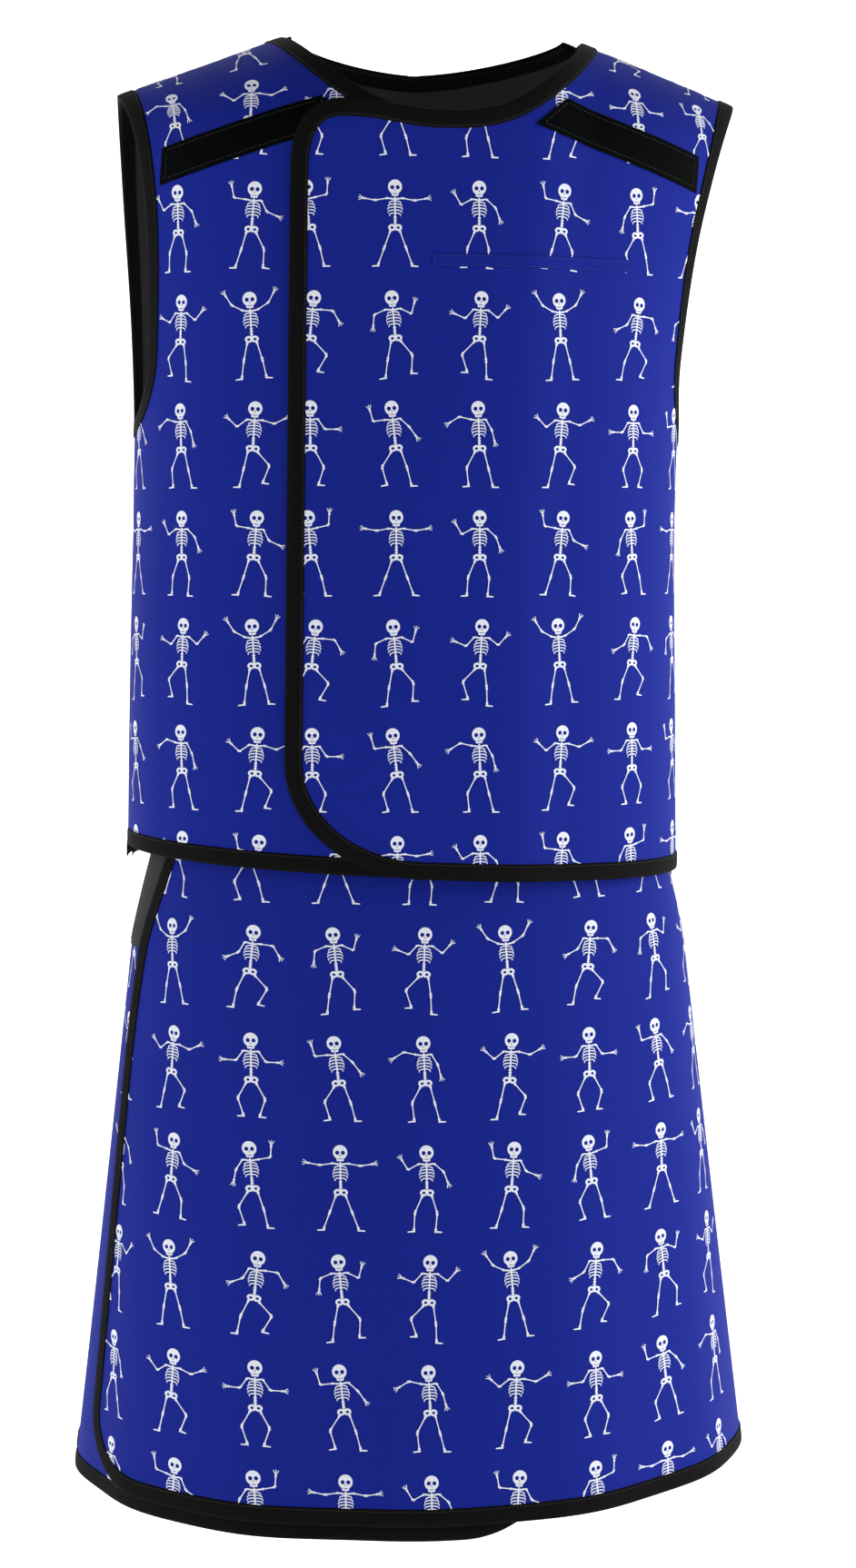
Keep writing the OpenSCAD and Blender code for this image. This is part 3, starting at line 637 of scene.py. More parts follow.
def columns(side, lo, hi, ws, inner_n=36, outer_n=20):
    """Columns from lo(w) to hi(w), one of them on each neck point that lies between."""
    rows = []
    for w, a, b in zip(ws, lo, hi):
        wide = float(half_w(side, w))
        row = []
        if a < -NECK_HALF_W:
            outer = -ring_steps(NECK_HALF_W + CLOSE_R / 2, -a, wide, outer_n)[::-1]
            row += [*outer, *(-NECK_HALF_W - CLOSE_R / 2 + bunch(4, CLOSE_R / 2))]
            row += [*(-NECK_HALF_W + CLOSE_R * (np.arange(1, 8) / 7) ** 2)]
            start = -NECK_HALF_W + CLOSE_R
        else:
            row += [a]
            start = a
        stop = NECK_HALF_W - CLOSE_R if b > NECK_HALF_W else b
        row += [*np.linspace(start, stop, inner_n)[1:]]
        if b > NECK_HALF_W:
            row += [*(NECK_HALF_W - CLOSE_R + bunch(7, CLOSE_R))]
            row += [*(NECK_HALF_W + CLOSE_R / 2 * (np.arange(1, 5) / 4) ** 2)]
            row += [*ring_steps(NECK_HALF_W + CLOSE_R / 2, b, wide, outer_n)[1:]]
        rows.append(row)
    return np.array(rows)


def eased_rows(low_h, low_n, stop, n, high):
    """Rows from 0: close together in a rounded corner at the bottom, then even, then as high gives."""
    low = low_h * (1 - np.cos(np.linspace(0, np.pi / 2, low_n)))
    return np.concatenate([low, np.linspace(low_h, stop, n)[1:], high])


ROLL_FROM = RUN - ROLL_H
VEST_ROWS = eased_rows(OVER_LOW[1], 16, ROLL_FROM, 60,
                       ROLL_FROM + ROLL_H * np.sin(np.linspace(0, np.pi / 2, 25)[1:]))

vest_panels = {
    "vest_back": (1, "vest", -side_r(1, VEST_ROWS), side_r(1, VEST_ROWS), False, ["vest_back"]),
    "vest_left_front": (-1, OVER, over_x(VEST_ROWS) - lean(VEST_ROWS), side_r(-1, VEST_ROWS), True,
                        ["vest_left_front", "over_flap"]),
    "vest_right_front": (-1, UNDER, -side_r(-1, VEST_ROWS), under_x(VEST_ROWS) - lean(VEST_ROWS), False,
                         ["vest_right_front", "under_flap"]),
}
LAYERS = {"shell": (SHELL, BLUE, "printed_blue_fabric"), "core": (CORE, VINYL, "shielding_core"),
          "lining": (LINING, GREY, "grey_lining")}


def panel(name, at, us, ws, way, stands_for):
    """The three layers of a panel, each a closed sheet."""
    size = flat_size(at, us, ws)
    for layer, (ts, material, slot) in LAYERS.items():
        obj = build(f"{name}_{layer}_cloth", *slab_part(at, us, ws, ts)[:3], [material])
        goes(obj, way, slot, *[f"{n}_{layer}" for n in stands_for])


for name, (side, way, lo, hi, lifted, stands_for) in vest_panels.items():
    def at(r, w, t, side=side, lifted=lifted):
        return vest_point(side, r, w, t, lifted)
    panel(name, at, columns(side, lo, hi, VEST_ROWS), VEST_ROWS, way, stands_for)

SEAM_A = 0.05
OVER_ROWS = -SKIRT_LEN + eased_rows(0.05, 12, SKIRT_LEN, 84, [])
UNDER_ROWS = -UNDER_LEN + eased_rows(0.06, 12, UNDER_LEN, 84, [])


def fan(lo, hi, n, rows):
    lo, hi = (np.broadcast_to(q, rows.shape)[:, None] for q in (lo, hi))
    return lo + (hi - lo) * np.linspace(0, 1, n)


def on_over(a, z, t):
    return skirt_point(a, z, t, True)


panel("skirt_over", on_over, fan(free_a(OVER_ROWS), 90 - SEAM_A, 76, OVER_ROWS), OVER_ROWS, CORNER,
      ["skirt_over", "skirt_corner"])
panel("skirt_under", skirt_point, fan(-90 + SEAM_A, under_a(UNDER_ROWS), 54, UNDER_ROWS), UNDER_ROWS, "skirt",
      ["skirt_under"])
panel("skirt_back", skirt_point, fan(90 + SEAM_A, 270 - SEAM_A, 84, OVER_ROWS), OVER_ROWS, "skirt",
      ["skirt_back"])

# ---------------------------------------------------------------- bindings
INNER_SEAM = 10.3          # the stitch line's place in from the edge, mm
OUT_T, IN_T = 3.98, -0.92


def binding(name, at, path, sign, way, nodes, closed=False):
    parts = [tape_part(at, path, sign, closed), seam_part(at, path, sign, INNER_SEAM, OUT_T, closed),
             seam_part(at, path, sign, INNER_SEAM, IN_T - 0.02, closed)]
    verts, faces, cloth, slots = join_parts(parts)
    obj = build(name, verts, faces, cloth, [TAPE, THREAD], slots, sharp=60)
    return goes(obj, way, "black_binding", *nodes)


def vest_path(*stretches):
    """A path in (b, v) through stretches given as (side, r, z)."""
    b = np.concatenate([b_of(side, r, z) for side, r, z in stretches])
    v = np.concatenate([v_of(side, r, z) for side, r, z in stretches])
    return np.stack([b, v], 1)


def edge(side, r, w):
    """A stretch of an edge, from r and w."""
    r, w = np.broadcast_arrays(np.asarray(r, float), np.asarray(w, float))
    return side, r, height_of(side, r, w)


def spread(a, b, n=400):
    """Places from a to b, closer together at both ends."""
    return mix(a, b, (1 - np.cos(np.linspace(0, np.pi, n))) / 2)


def vest_left(b, v, t):
    return vest_round(b, v, t, True)


W_ALL = spread(0, RUN, 1600)
HEM_INSIDE = 0.9985        # the front hem tape ends just inside the side seam
low_side = float(half_w(-1, 0.0)) * HEM_INSIDE
over_r = over_x(W_ALL) - lean(W_ALL)
under_r = under_x(W_ALL) - lean(W_ALL)
left_path = vest_path(edge(-1, spread(low_side, over_r[0]), 0), edge(-1, over_r, W_ALL),
                      edge(-1, spread(over_r[-1], NECK_HALF_W, 2000), RUN))
binding("vest_left_edge_binding", vest_left, left_path, -1, OVER,
        ["over_flap_binding", "vest_hem_binding", "vest_neck_binding"])
right_path = vest_path(edge(-1, spread(-low_side, under_r[0]), 0), edge(-1, under_r, W_ALL),
                       edge(-1, spread(under_r[-1], -NECK_HALF_W, 2000), RUN))
binding("vest_right_edge_binding", vest_round, right_path, 1, UNDER, ["under_flap_binding"])
neck_path = vest_path(edge(1, spread(-NECK_HALF_W, NECK_HALF_W, 4000), RUN))
binding("vest_back_neck_binding", vest_round, neck_path, -1, "vest", ["vest_neck_binding"])
back_hem = vest_path(edge(1, spread(-float(half_w(1, 0.0)), float(half_w(1, 0.0)), 800), 0))
binding("vest_back_hem_binding", vest_round, back_hem, 1, "vest", ["vest_hem_binding"])


def armhole(s):
    w = spread(PIT_Z - HEM_Z, RUN, 3000)
    front, back = vest_path(edge(-1, s * side_r(-1, w), w)), vest_path(edge(1, s * side_r(1, w), w))[::-1]
    return np.concatenate([front, back[1:]])


for s, name in ((1, "left"), (-1, "right")):
    binding(f"{name}_armhole_edge_binding", vest_left if s > 0 else vest_round, armhole(s), s, "vest",
            [f"{name}_armhole_binding"], closed=True)


def skirt_path(*stretches):
    return np.concatenate([np.stack(np.broadcast_arrays(a, z), 1) for a, z in stretches])


z_over = spread(-SKIRT_LEN, -BAND_H - 0.002, 1500)
binding("skirt_over_edge_binding", on_over,
        skirt_path((spread(90 - SEAM_A, float(free_a(-SKIRT_LEN))), np.float64(-SKIRT_LEN)), (free_a(z_over), z_over)),
        -1, CORNER, ["skirt_over_binding", "skirt_corner_binding"])
z_under = spread(-UNDER_LEN, -BAND_H - 0.002, 1500)
binding("skirt_under_edge_binding", skirt_point,
        skirt_path((spread(-90 + SEAM_A, float(under_a(-UNDER_LEN))), np.float64(-UNDER_LEN)),
                   (under_a(z_under), z_under)), 1, "skirt", ["skirt_under_binding"])
binding("skirt_back_edge_binding", skirt_point,
        skirt_path((spread(90 + SEAM_A, 270 - SEAM_A, 900), np.float64(-SKIRT_LEN))), 1, "skirt",
        ["skirt_back_binding"])


# ---------------------------------------------------------------- trim on the vest
BAND_T, TRIM_T, INNER_T = (0.00305, 0.0041), (0.00305, 0.0037), (-0.00075, -0.00005)
WEBBING_W, BAND_Z, BAND_SLOPE, BAND_R, BAND_SKEW = 0.0254, 0.4028, 0.31, 0.088, 0.024
BAND_END = float(side_r(-1, run_of(-1, 0.195, 0.366))) - TAPE_W - 0.001
POCKET_X, POCKET_Z, WELT_H, BAG_H = (0.002, 0.150), 0.305, 0.009, 0.120
BAG_X, BAG_T, WELT_T = (-0.006, 0.146), (0.00208, 0.00242), (0.00305, 0.0036)
PATCH_X, PATCH_W = (-0.040, 0.004), ((0.060, 0.160), (0.300, 0.400))
EDGE_IN = 0.003            # a stitch line's place in from a strap's or a patch's edge
THREAD_OUT = 0.02          # a stitch line's height off the cloth, mm


def piece(name, parts, materials, way, slot, *nodes):
    """Joined parts as one object. The materials are numbered by the parts' slots."""
    verts, faces, cloth, slots = join_parts(parts)
    return goes(build(name, verts, faces, cloth, materials, slots), way, slot, *nodes)


def framed(at, u, w, ts, n, m, du, dw):
    """A slab over the ranges u and w, with a line of stitches du and dw in from its edges."""
    thread_t = (ts[1] if ts[1] > 0 else ts[0]) / MM + THREAD_OUT * np.sign(ts[1])
    us, ws = np.linspace(*u, n), np.linspace(*w, m)
    (a, b), (c, d) = (u[0] + du, u[1] - du), (w[0] + dw, w[1] - dw)
    corners = [(a, c), (b, c), (b, d), (a, d), (a, c)]
    lines = [line_part(at, *p, *q, thread_t) for p, q in zip(corners, corners[1:])]
    return [slab_part(at, us, ws, ts), *lines]


for s, name in ((1, "left"), (-1, "right")):
    def on_band(u, k, t, s=s):
        r = mix(BAND_R - BAND_SKEW * (1 - k), BAND_END, u)
        z = BAND_Z - BAND_SLOPE * (r - BAND_R) + (k - 0.5) * WEBBING_W
        return drop_in(-1, s * r, ridge_at(r) - z, t, s > 0)
    parts = framed(on_band, (0, 1), (0, 1), BAND_T, 40, 9, 0.03, EDGE_IN / WEBBING_W)
    piece(f"{name}_shoulder_webbing", parts, [WEB, THREAD], "vest", "black_webbing", f"{name}_shoulder_band")


def over_ridge(r, v, t):
    return drop_point(np.where(v < 0, -1, 1), r, drop_of(v), t)


SEAM_R, SEAM_V = (-0.217, -0.124), 0.061
piece("right_shoulder_seam_cover", framed(over_ridge, SEAM_R, (-SEAM_V, SEAM_V), TRIM_T, 30, 9, 0.001, 0.014),
      [TAPE, THREAD], "vest", "black_binding", "right_shoulder_seam_tape")

PAD_R, PAD_V, PAD_TOP, PAD_DEEP, PAD_CHANNELS = (0.128, 0.205), 1.36, -0.0009, 0.0061, 3
for s, name in ((1, "left"), (-1, "right")):
    def on_pad(u, v, t, s=s):
        """t 0 is the flat outer side and 1 the crowned side, which two sewn channels cross."""
        crown = (1 - np.abs(2 * u - 1) ** 3.5) ** 0.6 * (1 - np.abs(v / PAD_V) ** 5) ** 0.6
        channel = np.abs(np.sin(np.pi * PAD_CHANNELS * u)) ** 0.35
        deep = 0.0009 + (PAD_DEEP - 0.0009) * crown * mix(0.55, 1, channel)
        return over_ridge(s * mix(*PAD_R, u), v, PAD_TOP - deep * t)
    pad = piece(f"{name}_shoulder_cushion",
                [slab_part(on_pad, np.linspace(0, 1, 49), PAD_V * np.sin(np.linspace(-1, 1, 61) * np.pi / 2), (0, 1))],
                [FOAM], "vest", "foam_pad", f"{name}_shoulder_pad")


def on_lap(x, z, t):
    w = run_of(-1, x, z)
    r = x - lean(w)
    return drop_in(-1, r, ridge_at(r) - z, t, True)


piece("pocket_welt_cloth",
      framed(on_lap, POCKET_X, (POCKET_Z - WELT_H, POCKET_Z), WELT_T, 60, 5, 0.0012, 0.0012),
      [BLUE, BLUE_THREAD], OVER, "printed_blue_fabric", "pocket_welt", "pocket_welt_end")
piece("pocket_bag_cloth",
      [slab_part(on_lap, np.linspace(*BAG_X, 50), np.linspace(POCKET_Z - BAG_H, POCKET_Z - 0.001, 30), BAG_T)],
      [POCKET], OVER, "black_pocketing", "pocket_bag", "pocket_bag_end")


def on_front(x, w, t):
    """The wearer's-right front, which lies under."""
    return vest_point(-1, x - lean(w), w, t)


def under_over(x, w, t):
    """The wearer's-left front, which lies over."""
    return vest_point(-1, x - lean(w), w, t, True)


hooks = [q for w in PATCH_W for q in framed(on_front, PATCH_X, w, TRIM_T, 20, 30, EDGE_IN, EDGE_IN)]
piece("vest_hook_tape", hooks, [HOOK, THREAD], UNDER, "black_hook", "vest_hook_patches")
loops = [q for w in PATCH_W for q in framed(under_over, PATCH_X, w, INNER_T, 20, 30, EDGE_IN, EDGE_IN)]
piece("vest_loop_tape", loops, [LOOP, THREAD], "over_flap", "grey_loop", "vest_loop_patches")

# ---------------------------------------------------------------- trim on the skirt
WAIST_T = (0.00305, 0.0052)
LOOP_A, LOOP_Z, HOOK_A, HOOK_Z = (-89, -70), (-0.205, -0.060), -50, (-0.150, -0.060)
SIDE_A, SIDE_Z = (264, 270.6), (-0.205, -BAND_H - 0.0001)
band_a = (float(free_a(-BAND_H)) + 1, 269.5)
piece("skirt_waistband_cloth", framed(on_over, band_a, (-BAND_H, 0), WAIST_T, 200, 12, 0.8, EDGE_IN),
      [TAPE, THREAD], "skirt", "black_binding", "skirt_waistband")
piece("skirt_loop_tape", framed(skirt_point, LOOP_A, LOOP_Z, TRIM_T, 20, 40, 0.9, EDGE_IN), [LOOP, THREAD],
      "skirt", "grey_loop", "skirt_loop_patch")


def on_hook(u, z, t):
    """The hook patch follows the over panel's free edge."""
    return on_over(mix(free_a(z) + 0.5, HOOK_A, u), z, t)


piece("skirt_hook_tape", framed(on_hook, (0, 1), HOOK_Z, INNER_T, 20, 30, 0.06, EDGE_IN), [HOOK, THREAD],
      "skirt", "black_hook", "skirt_hook_patch")
piece("skirt_side_strip", framed(skirt_point, SIDE_A, SIDE_Z, TRIM_T, 10, 40, 0.6, EDGE_IN), [TAPE, THREAD],
      "skirt", "black_binding", "skirt_side_tape")

# ---------------------------------------------------------------- the print: small dancing skeletons
# sizes and places of a figure are in mm, from the middle of its hips
SHOULDER, HIP, SKULL = (4.9, 20.0), (3.1, -1.5), (0.0, 27.5)
UPPER, FORE, HAND, THIGH, SHIN, FOOT = 8.5, 8.0, 3.6, 12.5, 12.0, 4.2
# lean of the body, then for each side: upper arm, forearm, thigh and shin, from straight down outwards
POSES = {
    "A1": (0, (62, 150, 24, 4), (48, 20, 16, -6)), "A2": (5, (95, 165, 12, 14), (30, 70, 30, 2)),
    "A3": (-4, (35, 15, 34, -14), (100, 172, 14, 8)), "A4": (0, (80, 100, 20, 20), (80, 100, 20, 20)),
    "B1": (3, (40, 110, 42, -20), (55, 140, 10, 4)), "B2": (-3, (120, 150, 14, 10), (120, 150, 14, 10)),
    "B3": (6, (25, 60, 20, 6), (90, 35, 48, -24)), "B4": (-5, (70, 10, 16, 12), (60, 160, 36, -8)),
    "C1": (-2, (105, 60, 30, -4), (28, 12, 12, 12)), "C2": (4, (50, 130, 10, 10), (76, 120, 44, -18)),
    "C3": (0, (34, 90, 28, -18), (34, 90, 28, -18)), "C4": (-6, (88, 170, 38, -10), (42, 30, 14, 8)),
}
FIGURE_SCALE = 1.05
PRINT_T = (SHELL[1] - 0.0001, SHELL[1] + 0.0003)


def oval(x, y, rx, ry, n=12, first=0.0, last=360.0):
    turn = np.radians(np.linspace(first, last, n + 1)[:n if last - first == 360 else n + 1])
    return [(x + rx * math.cos(q), y + ry * math.sin(q)) for q in turn]


def ribbon(points, widths):
    """An outline round a centre line that has a half width at each point."""
    p = np.array(points, float)
    d = np.gradient(p, axis=0)
    normal = np.stack([-d[:, 1], d[:, 0]], 1) / np.linalg.norm(d, axis=1)[:, None]
    w = np.array(widths)[:, None]
    return [tuple(q) for q in np.concatenate([p + normal * w, (p - normal * w)[::-1]])]


def bone(p, q):
    shares, widths = (0, 0.07, 0.18, 0.5, 0.82, 0.93, 1), (0.55, 0.88, 0.38, 0.32, 0.38, 0.88, 0.55)
    return ribbon([(mix(p[0], q[0], k), mix(p[1], q[1], k)) for k in shares], widths)


def reach_from(p, side, angle, length):
    a = math.radians(angle)
    return p[0] + side * length * math.sin(a), p[1] - length * math.cos(a)


def skeleton(pose):
    """Solid outlines and cut-out outlines of a figure."""
    lean_deg, *sides = pose
    solid = [oval(*SKULL, 4.7, 4.9, 18, -42, 222) + [(-2.5, 23.4), (-2.1, 21.5), (2.1, 21.5), (2.5, 23.4)]]
    cut = [oval(x, 27.2, 1.4, 1.5, 9) for x in (-1.85, 1.85)]
    cut += [[(-0.6, 24.9), (0.6, 24.9), (0, 26.1)], [(-1.6, 22.8), (1.6, 22.8), (1.6, 23.3), (-1.6, 23.3)]]
    solid.append(ribbon([(0, 21.0), (0, 14.5), (0, 8.5), (0, 2.0)], [0.5] * 4))
    solid += [[(-0.95, y), (0.95, y), (0.95, y + 1.0), (-0.95, y + 1.0)] for y in (3.2, 5.0, 6.8)]
    solid.append(ribbon([(-SHOULDER[0], SHOULDER[1]), (0, 19.2), SHOULDER], [0.5, 0.6, 0.5]))
    for y, wide in ((17.6, 4.0), (15.6, 4.7), (13.6, 5.0), (11.6, 4.7), (9.6, 3.8)):
        for side in (-1, 1):
            share = np.linspace(0, 1, 5)
            line = [(side * wide * math.sin(q * 1.9) / math.sin(1.571), y + 0.5 - 2.2 * q ** 2) for q in share]
            solid.append(ribbon(line, [0.32, 0.36, 0.36, 0.3, 0.16]))
    for side in (-1, 1):
        solid.append(oval(side * 2.0, 0.4, 2.7, 2.3, 12))
        cut.append(oval(side * 2.1, 0.3, 1.15, 0.95, 8))
    for side, (arm, fore, thigh, shin) in zip((-1, 1), sides):
        elbow = reach_from((side * SHOULDER[0], SHOULDER[1]), side, arm, UPPER)
        wrist = reach_from(elbow, side, fore, FORE)
        knee = reach_from((side * HIP[0], HIP[1]), side, thigh, THIGH)
        heel = reach_from(knee, side, shin, SHIN)
        solid += [bone((side * SHOULDER[0], SHOULDER[1]), elbow), bone(elbow, wrist)]
        solid += [bone((side * HIP[0], HIP[1]), knee), bone(knee, heel)]
        for spread_deg in (-28, 0, 28):
            tip = reach_from(wrist, side, fore + spread_deg, HAND)
            solid.append(ribbon([wrist, tip], [0.3, 0.22]))
        toe = (heel[0] + side * FOOT, heel[1] - 1.0)
        solid.append(ribbon([(heel[0] - side * 0.8, heel[1] - 0.5), toe], [0.65, 0.35]))
    turn = math.radians(lean_deg)
    c, s = math.cos(turn) * FIGURE_SCALE, math.sin(turn) * FIGURE_SCALE
    return [[[(x * c + y * s, y * c - x * s - 2.0) for x, y in loop] for loop in loops] for loops in (solid, cut)]


def leftward(loop):
    """The outline, turned so that its inside is on its left."""
    x, y = np.array(loop).T
    return loop if (x * np.roll(y, -1) - y * np.roll(x, -1)).sum() > 0 else loop[::-1]


def flat_mesh(pose):
    """The figure's triangles: points in metres, and point numbers."""
    solid, cut = skeleton(pose)
    points, loops = [], []
    for loop in solid + cut:
        loops.append(list(range(len(points), len(points) + len(loop))))
        points += [Vector(q) for q in leftward(loop)]
    verts, _, faces, _, _, sources = delaunay_2d_cdt(points, [], loops, 1, 1e-5, True)
    tris = [f for f, source in zip(faces, sources) if source and max(source) < len(solid)]
    tris = np.array([t for t in tris if len(t) == 3])
    verts = np.array([tuple(v) for v in verts]) * MM
    a, b, c = (verts[tris[:, i]] for i in range(3))
    area = np.cross(b - a, c - a)
    real = np.abs(area) > 1e-12
    tris, area = tris[real], area[real]
    tris[area < 0] = tris[area < 0][:, ::-1]
    return verts, tris


FIGURES = {name: flat_mesh(pose) for name, pose in POSES.items()}


def rim_of(tris):
    """The triangles' outer edges, in the direction of their triangle."""
    edges = np.concatenate([tris[:, [0, 1]], tris[:, [1, 2]], tris[:, [2, 0]]])
    key = edges.min(1) * 100000 + edges.max(1)
    _, first, count = np.unique(key, return_index=True, return_counts=True)
    return edges[first[count == 1]]


def print_on(name, place, at, keep, centres, way):
    """Figures on a panel. place turns cloth places into surface ones; keep says which lie on it."""
    parts = []
    for kind, u, v in centres:
        flat, tris = FIGURES[kind]
        first, second = place(flat[:, 0] + u, flat[:, 1] + v)
        on = keep(first, second)
        tris = tris[on[tris].all(1)]
        if not len(tris):
            continue
        used, tris = np.unique(tris, return_inverse=True)
        tris = tris.reshape(-1, 3)
        first, second = first[used], second[used]
        low, high = (at(first, second, np.full(first.shape, t)) for t in PRINT_T)
        n = len(used)
        rim = rim_of(tris)
        walls = np.stack([rim[:, 0], rim[:, 1], rim[:, 1] + n, rim[:, 0] + n], 1)
        faces = tris[:, ::-1].tolist() + (tris + n).tolist() + walls.tolist()
        cloth = flat[used] + (u, v)
        parts.append((np.concatenate([low, high]), faces, np.concatenate([cloth, cloth]), CLOTH_SLOT))
    verts, faces, cloth, _ = join_parts(parts)
    obj = build(name, verts, faces, cloth, [INK], sharp=30)
    return goes(obj, way, "printed_blue_fabric")


def unroll(power, aspect, start):
    """Cloth length against share of the half width, which takes in the curve only past start."""
    q = np.linspace(0, 1, 4001) ** 0.5
    q = 1 - (1 - q) ** 2
    y = aspect * (1 - q ** power) ** (1 / power)
    flat, curved = np.diff(q), np.hypot(np.diff(q), np.diff(y))
    return np.concatenate([[0], np.cumsum(mix(flat, curved, smooth((q[1:] - start) / 0.4)))]), q


VEST_ROLL, SKIRT_ROLL = unroll(FLAT_N, 0.68, 0.5), unroll(2.0, 0.75, 0.55)
roll_turn = np.linspace(0, np.pi / 2, 200)
ROLL_IN = 0.100            # how far the cloth goes in over the roll
roll_len = np.concatenate([[0], np.cumsum(np.hypot(ROLL_H * np.cos(roll_turn[1:]), ROLL_IN * np.sin(roll_turn[1:])))
                           * roll_turn[1]])
MARGIN = 0.0015            # figures end this far inside a taped edge


def vest_place(side):
    def place(u, v):
        r = u
        for _ in range(3):
            w = np.clip(run_of(side, r, np.minimum(v, ridge_at(r))), 0, RUN)
            wide = half_w(side, w)
            r = np.sign(u - lean(w)) * np.interp(np.abs(u - lean(w)) / wide, *VEST_ROLL) * wide
        over = v - (ridge_at(r) - ROLL_H)
        rolled = ROLL_H * (1 - np.sin(np.interp(over, roll_len, roll_turn)))
        return r, np.where(over > 0, np.where(over < roll_len[-1], rolled, -1), ROLL_H - over)
    return place


def vest_keep(side, lo, hi):
    """lo and hi give the limits of x at w; beyond the widest place there is no cloth."""
    def keep(r, drop):
        w = run_of(side, r, ridge_at(r) - drop)
        top = RUN - np.where(np.abs(r) < NECK_HALF_W, MARGIN, 0.0003)
        x = r + lean(w)
        inside = np.abs(r) < np.where(rise(w) > 0, side_r(side, w) - MARGIN, half_w(side, w) * 0.9995)
        return (drop > 0) & (w > MARGIN) & (w < top) & inside & (x > lo(w) + MARGIN) & (x < hi(w) - MARGIN)
    return keep


ROW_PITCH, VEST_ROW_V, SKIRT_ROW_V = 0.0776, 0.247, -0.286
everywhere = lambda w: np.full(np.shape(w), 1.0)
nowhere = lambda w: np.full(np.shape(w), -1.0)


def grid(us, kinds, letters, v0, lo, hi):
    return [(letters[k % 3] + str(kind), u, v0 + ROW_PITCH * k) for k in range(lo, hi) for u, kind in zip(us, kinds)]


def vest_print(name, side, lifted, lo, hi, us, kinds, way):
    print_on(name, vest_place(side), lambda r, d, t: drop_in(side, r, d, t, lifted), vest_keep(side, lo, hi),
             grid(us, kinds, "BAC", VEST_ROW_V, -6, 5), way)


vest_print("vest_left_print", -1, True, over_x, everywhere,
           (-0.0845, -0.0245, 0.0355, 0.0955, 0.1555, 0.2155), (3, 4, 1, 2, 3, 4), OVER)
vest_print("vest_right_print", -1, False, nowhere, under_x,
           (-0.240, -0.180, -0.1245, -0.0645, -0.0045), (4, 1, 2, 3, 4), UNDER)
vest_print("vest_back_print", 1, False, nowhere, everywhere,
           np.arange(-4, 5) * 0.060, (1, 2, 3, 4, 1, 2, 3, 4, 1), "vest")


def skirt_place(turned):
    """a runs from the front, or for the back panel from the middle of the back."""
    def place(u, z):
        wide = skirt_w(np.clip(z, -UNDER_LEN, 0))
        q = np.interp(np.abs(u) / wide, *SKIRT_ROLL)
        a = np.degrees(np.arcsin(np.minimum(1, q))) * np.sign(u)
        return (180 - a if turned else a), z
    return place


def skirt_keep(lo, hi, low_z):
    def keep(a, z):
        return (z > low_z + MARGIN) & (z < -MARGIN) & (a > lo(z)) & (a < hi(z))
    return keep


EDGE_DEG = 0.45            # MARGIN, as an angle round the skirt
SKIRT_US = np.arange(-4, 5) * 0.0595 - 0.005


def skirt_print(name, turned, at, keep, us, kinds, letters, way):
    print_on(name, skirt_place(turned), at, keep, grid(us, kinds, letters, SKIRT_ROW_V, -5, 5), way)


skirt_print("skirt_over_print", False, on_over,
            skirt_keep(lambda z: free_a(z) + EDGE_DEG, lambda z: 90 - SEAM_A, -SKIRT_LEN),
            SKIRT_US, (1, 2, 3, 4, 1, 2, 3, 4, 1), "CBA", CORNER)
skirt_print("skirt_under_print", False, skirt_point,
            skirt_keep(lambda z: -90 + SEAM_A, lambda z: under_a(z) - EDGE_DEG, -UNDER_LEN),
            SKIRT_US[:6] - 0.012, (2, 3, 4, 1, 2, 3), "BAC", "skirt")
skirt_print("skirt_back_print", True, skirt_point,
            skirt_keep(lambda z: 90 + SEAM_A, lambda z: 270 - SEAM_A, -SKIRT_LEN),
            SKIRT_US, (3, 4, 1, 2, 3, 4, 1, 2, 3), "CBA", "skirt")

# ---------------------------------------------------------------- camera, light and floor
def aim(obj, target):
    obj.rotation_euler = (Vector(target) - obj.location).to_track_quat("-Z", "Y").to_euler()


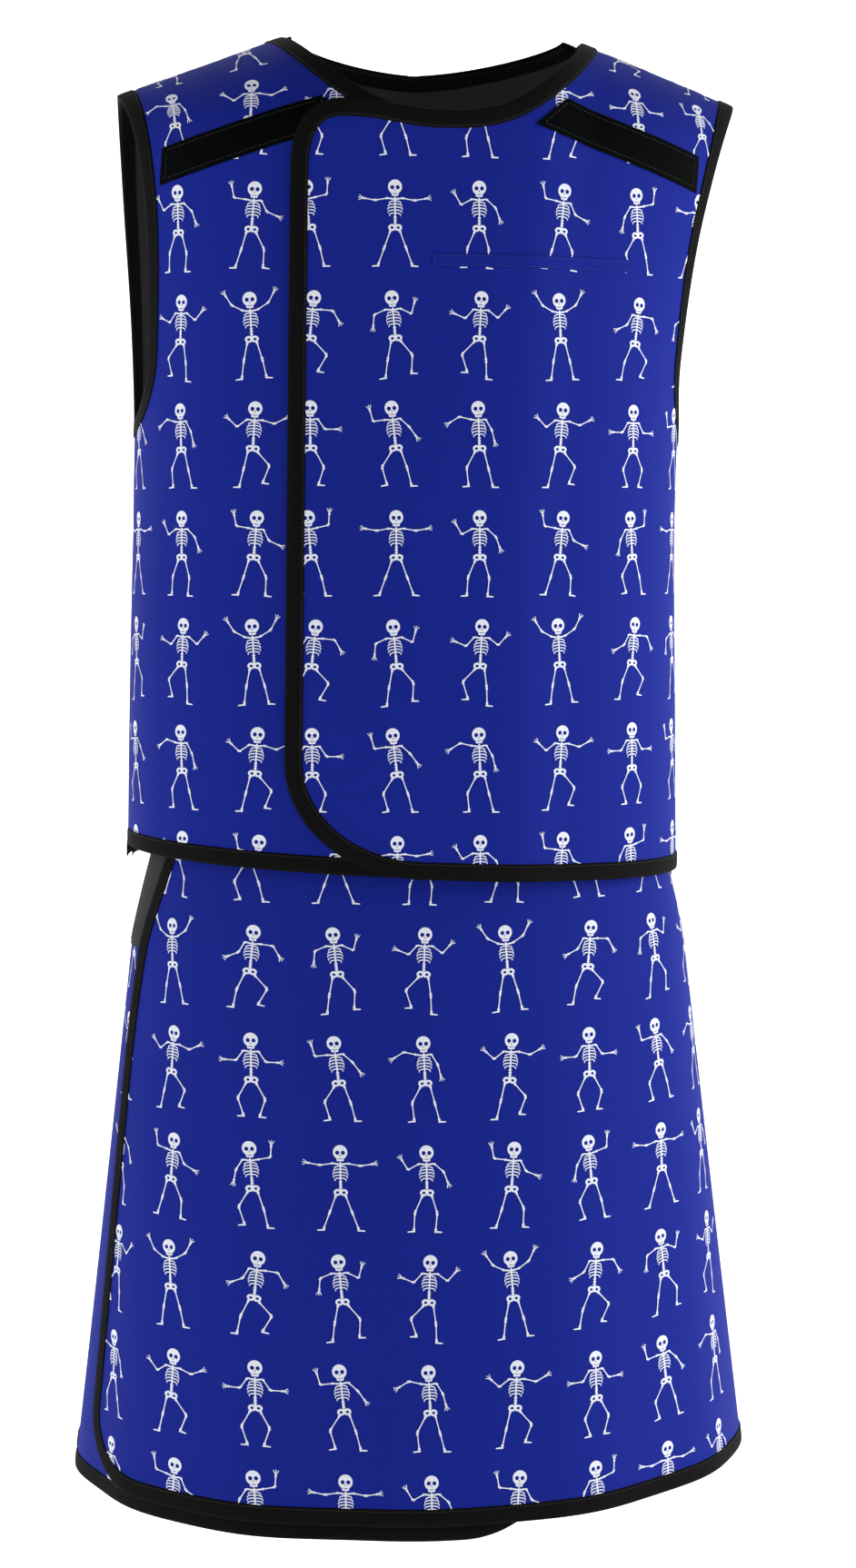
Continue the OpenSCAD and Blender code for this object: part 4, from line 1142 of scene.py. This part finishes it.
camera = bpy.data.objects.new("camera", bpy.data.cameras.new("camera"))
bpy.context.scene.collection.objects.link(camera)
camera.location = (-0.2216, -2.1084, 0.099)
yaw, pitch = math.radians(6.4), math.radians(4.96)
aim(camera, camera.location + Vector((math.sin(yaw) * math.cos(pitch), math.cos(yaw) * math.cos(pitch),
                                      -math.sin(pitch))))
camera.data.lens = 63.2
bpy.context.scene.camera = camera
bpy.context.scene.view_settings.view_transform = "Standard"


def lamp(name, place, target, size, watts):
    light = bpy.data.objects.new(name, bpy.data.lights.new(name, "AREA"))
    bpy.context.scene.collection.objects.link(light)
    light.location = place
    light.data.size = size
    light.data.energy = watts
    aim(light, target)


lamp("right_lamp", (2.5, -0.55, 0.5), (0, 0, -0.05), 1.2, 50)
lamp("left_lamp", (-2.5, -0.70, 0.5), (0, 0, -0.05), 1.2, 25)

world = bpy.data.worlds.new("studio")
world.use_nodes = True
put(world.node_tree.nodes["Background"], {"Color": (1, 1, 1, 1), "Strength": 0.27})
bpy.context.scene.world = world


def studio_sweep():
    """A white floor that curves up into a backdrop behind the part."""
    m, tree, bsdf = nodes_of("white_sweep")
    k = Maker(tree)
    shape = k.add("ShaderNodeTexCoord")["Object"]
    tone = k.add("ShaderNodeTexNoise", {"Vector": shape, "Scale": 3.0, "Detail": 2.0})[0]
    k.ramp(tone, (0.86,) * 3, (0.90,) * 3, bsdf.inputs["Base Color"])
    put(bsdf, {"Roughness": 0.9, "Emission Color": (1, 1, 1, 1), "Emission Strength": 0.75})
    floor_z, near, bend_y, bend_r, reach, top = -0.90, -6.0, 2.0, 1.2, 7.0, 5.0
    turn = np.linspace(0, np.pi / 2, 25)
    ys = [near, *(bend_y + bend_r * np.sin(turn)), bend_y + bend_r]
    zs = [floor_z, *(floor_z + bend_r * (1 - np.cos(turn))), top]
    verts = [(x, y, z) for y, z in zip(ys, zs) for x in (-reach, reach)]
    faces = [(2 * i, 2 * i + 1, 2 * i + 3, 2 * i + 2) for i in range(len(ys) - 1)]
    mesh = bpy.data.meshes.new("sweep")
    mesh.from_pydata(verts, [], faces)
    mesh.shade_smooth()
    mesh.materials.append(m)
    sweep = bpy.data.objects.new("sweep", mesh)
    bpy.context.scene.collection.objects.link(sweep)


studio_sweep()
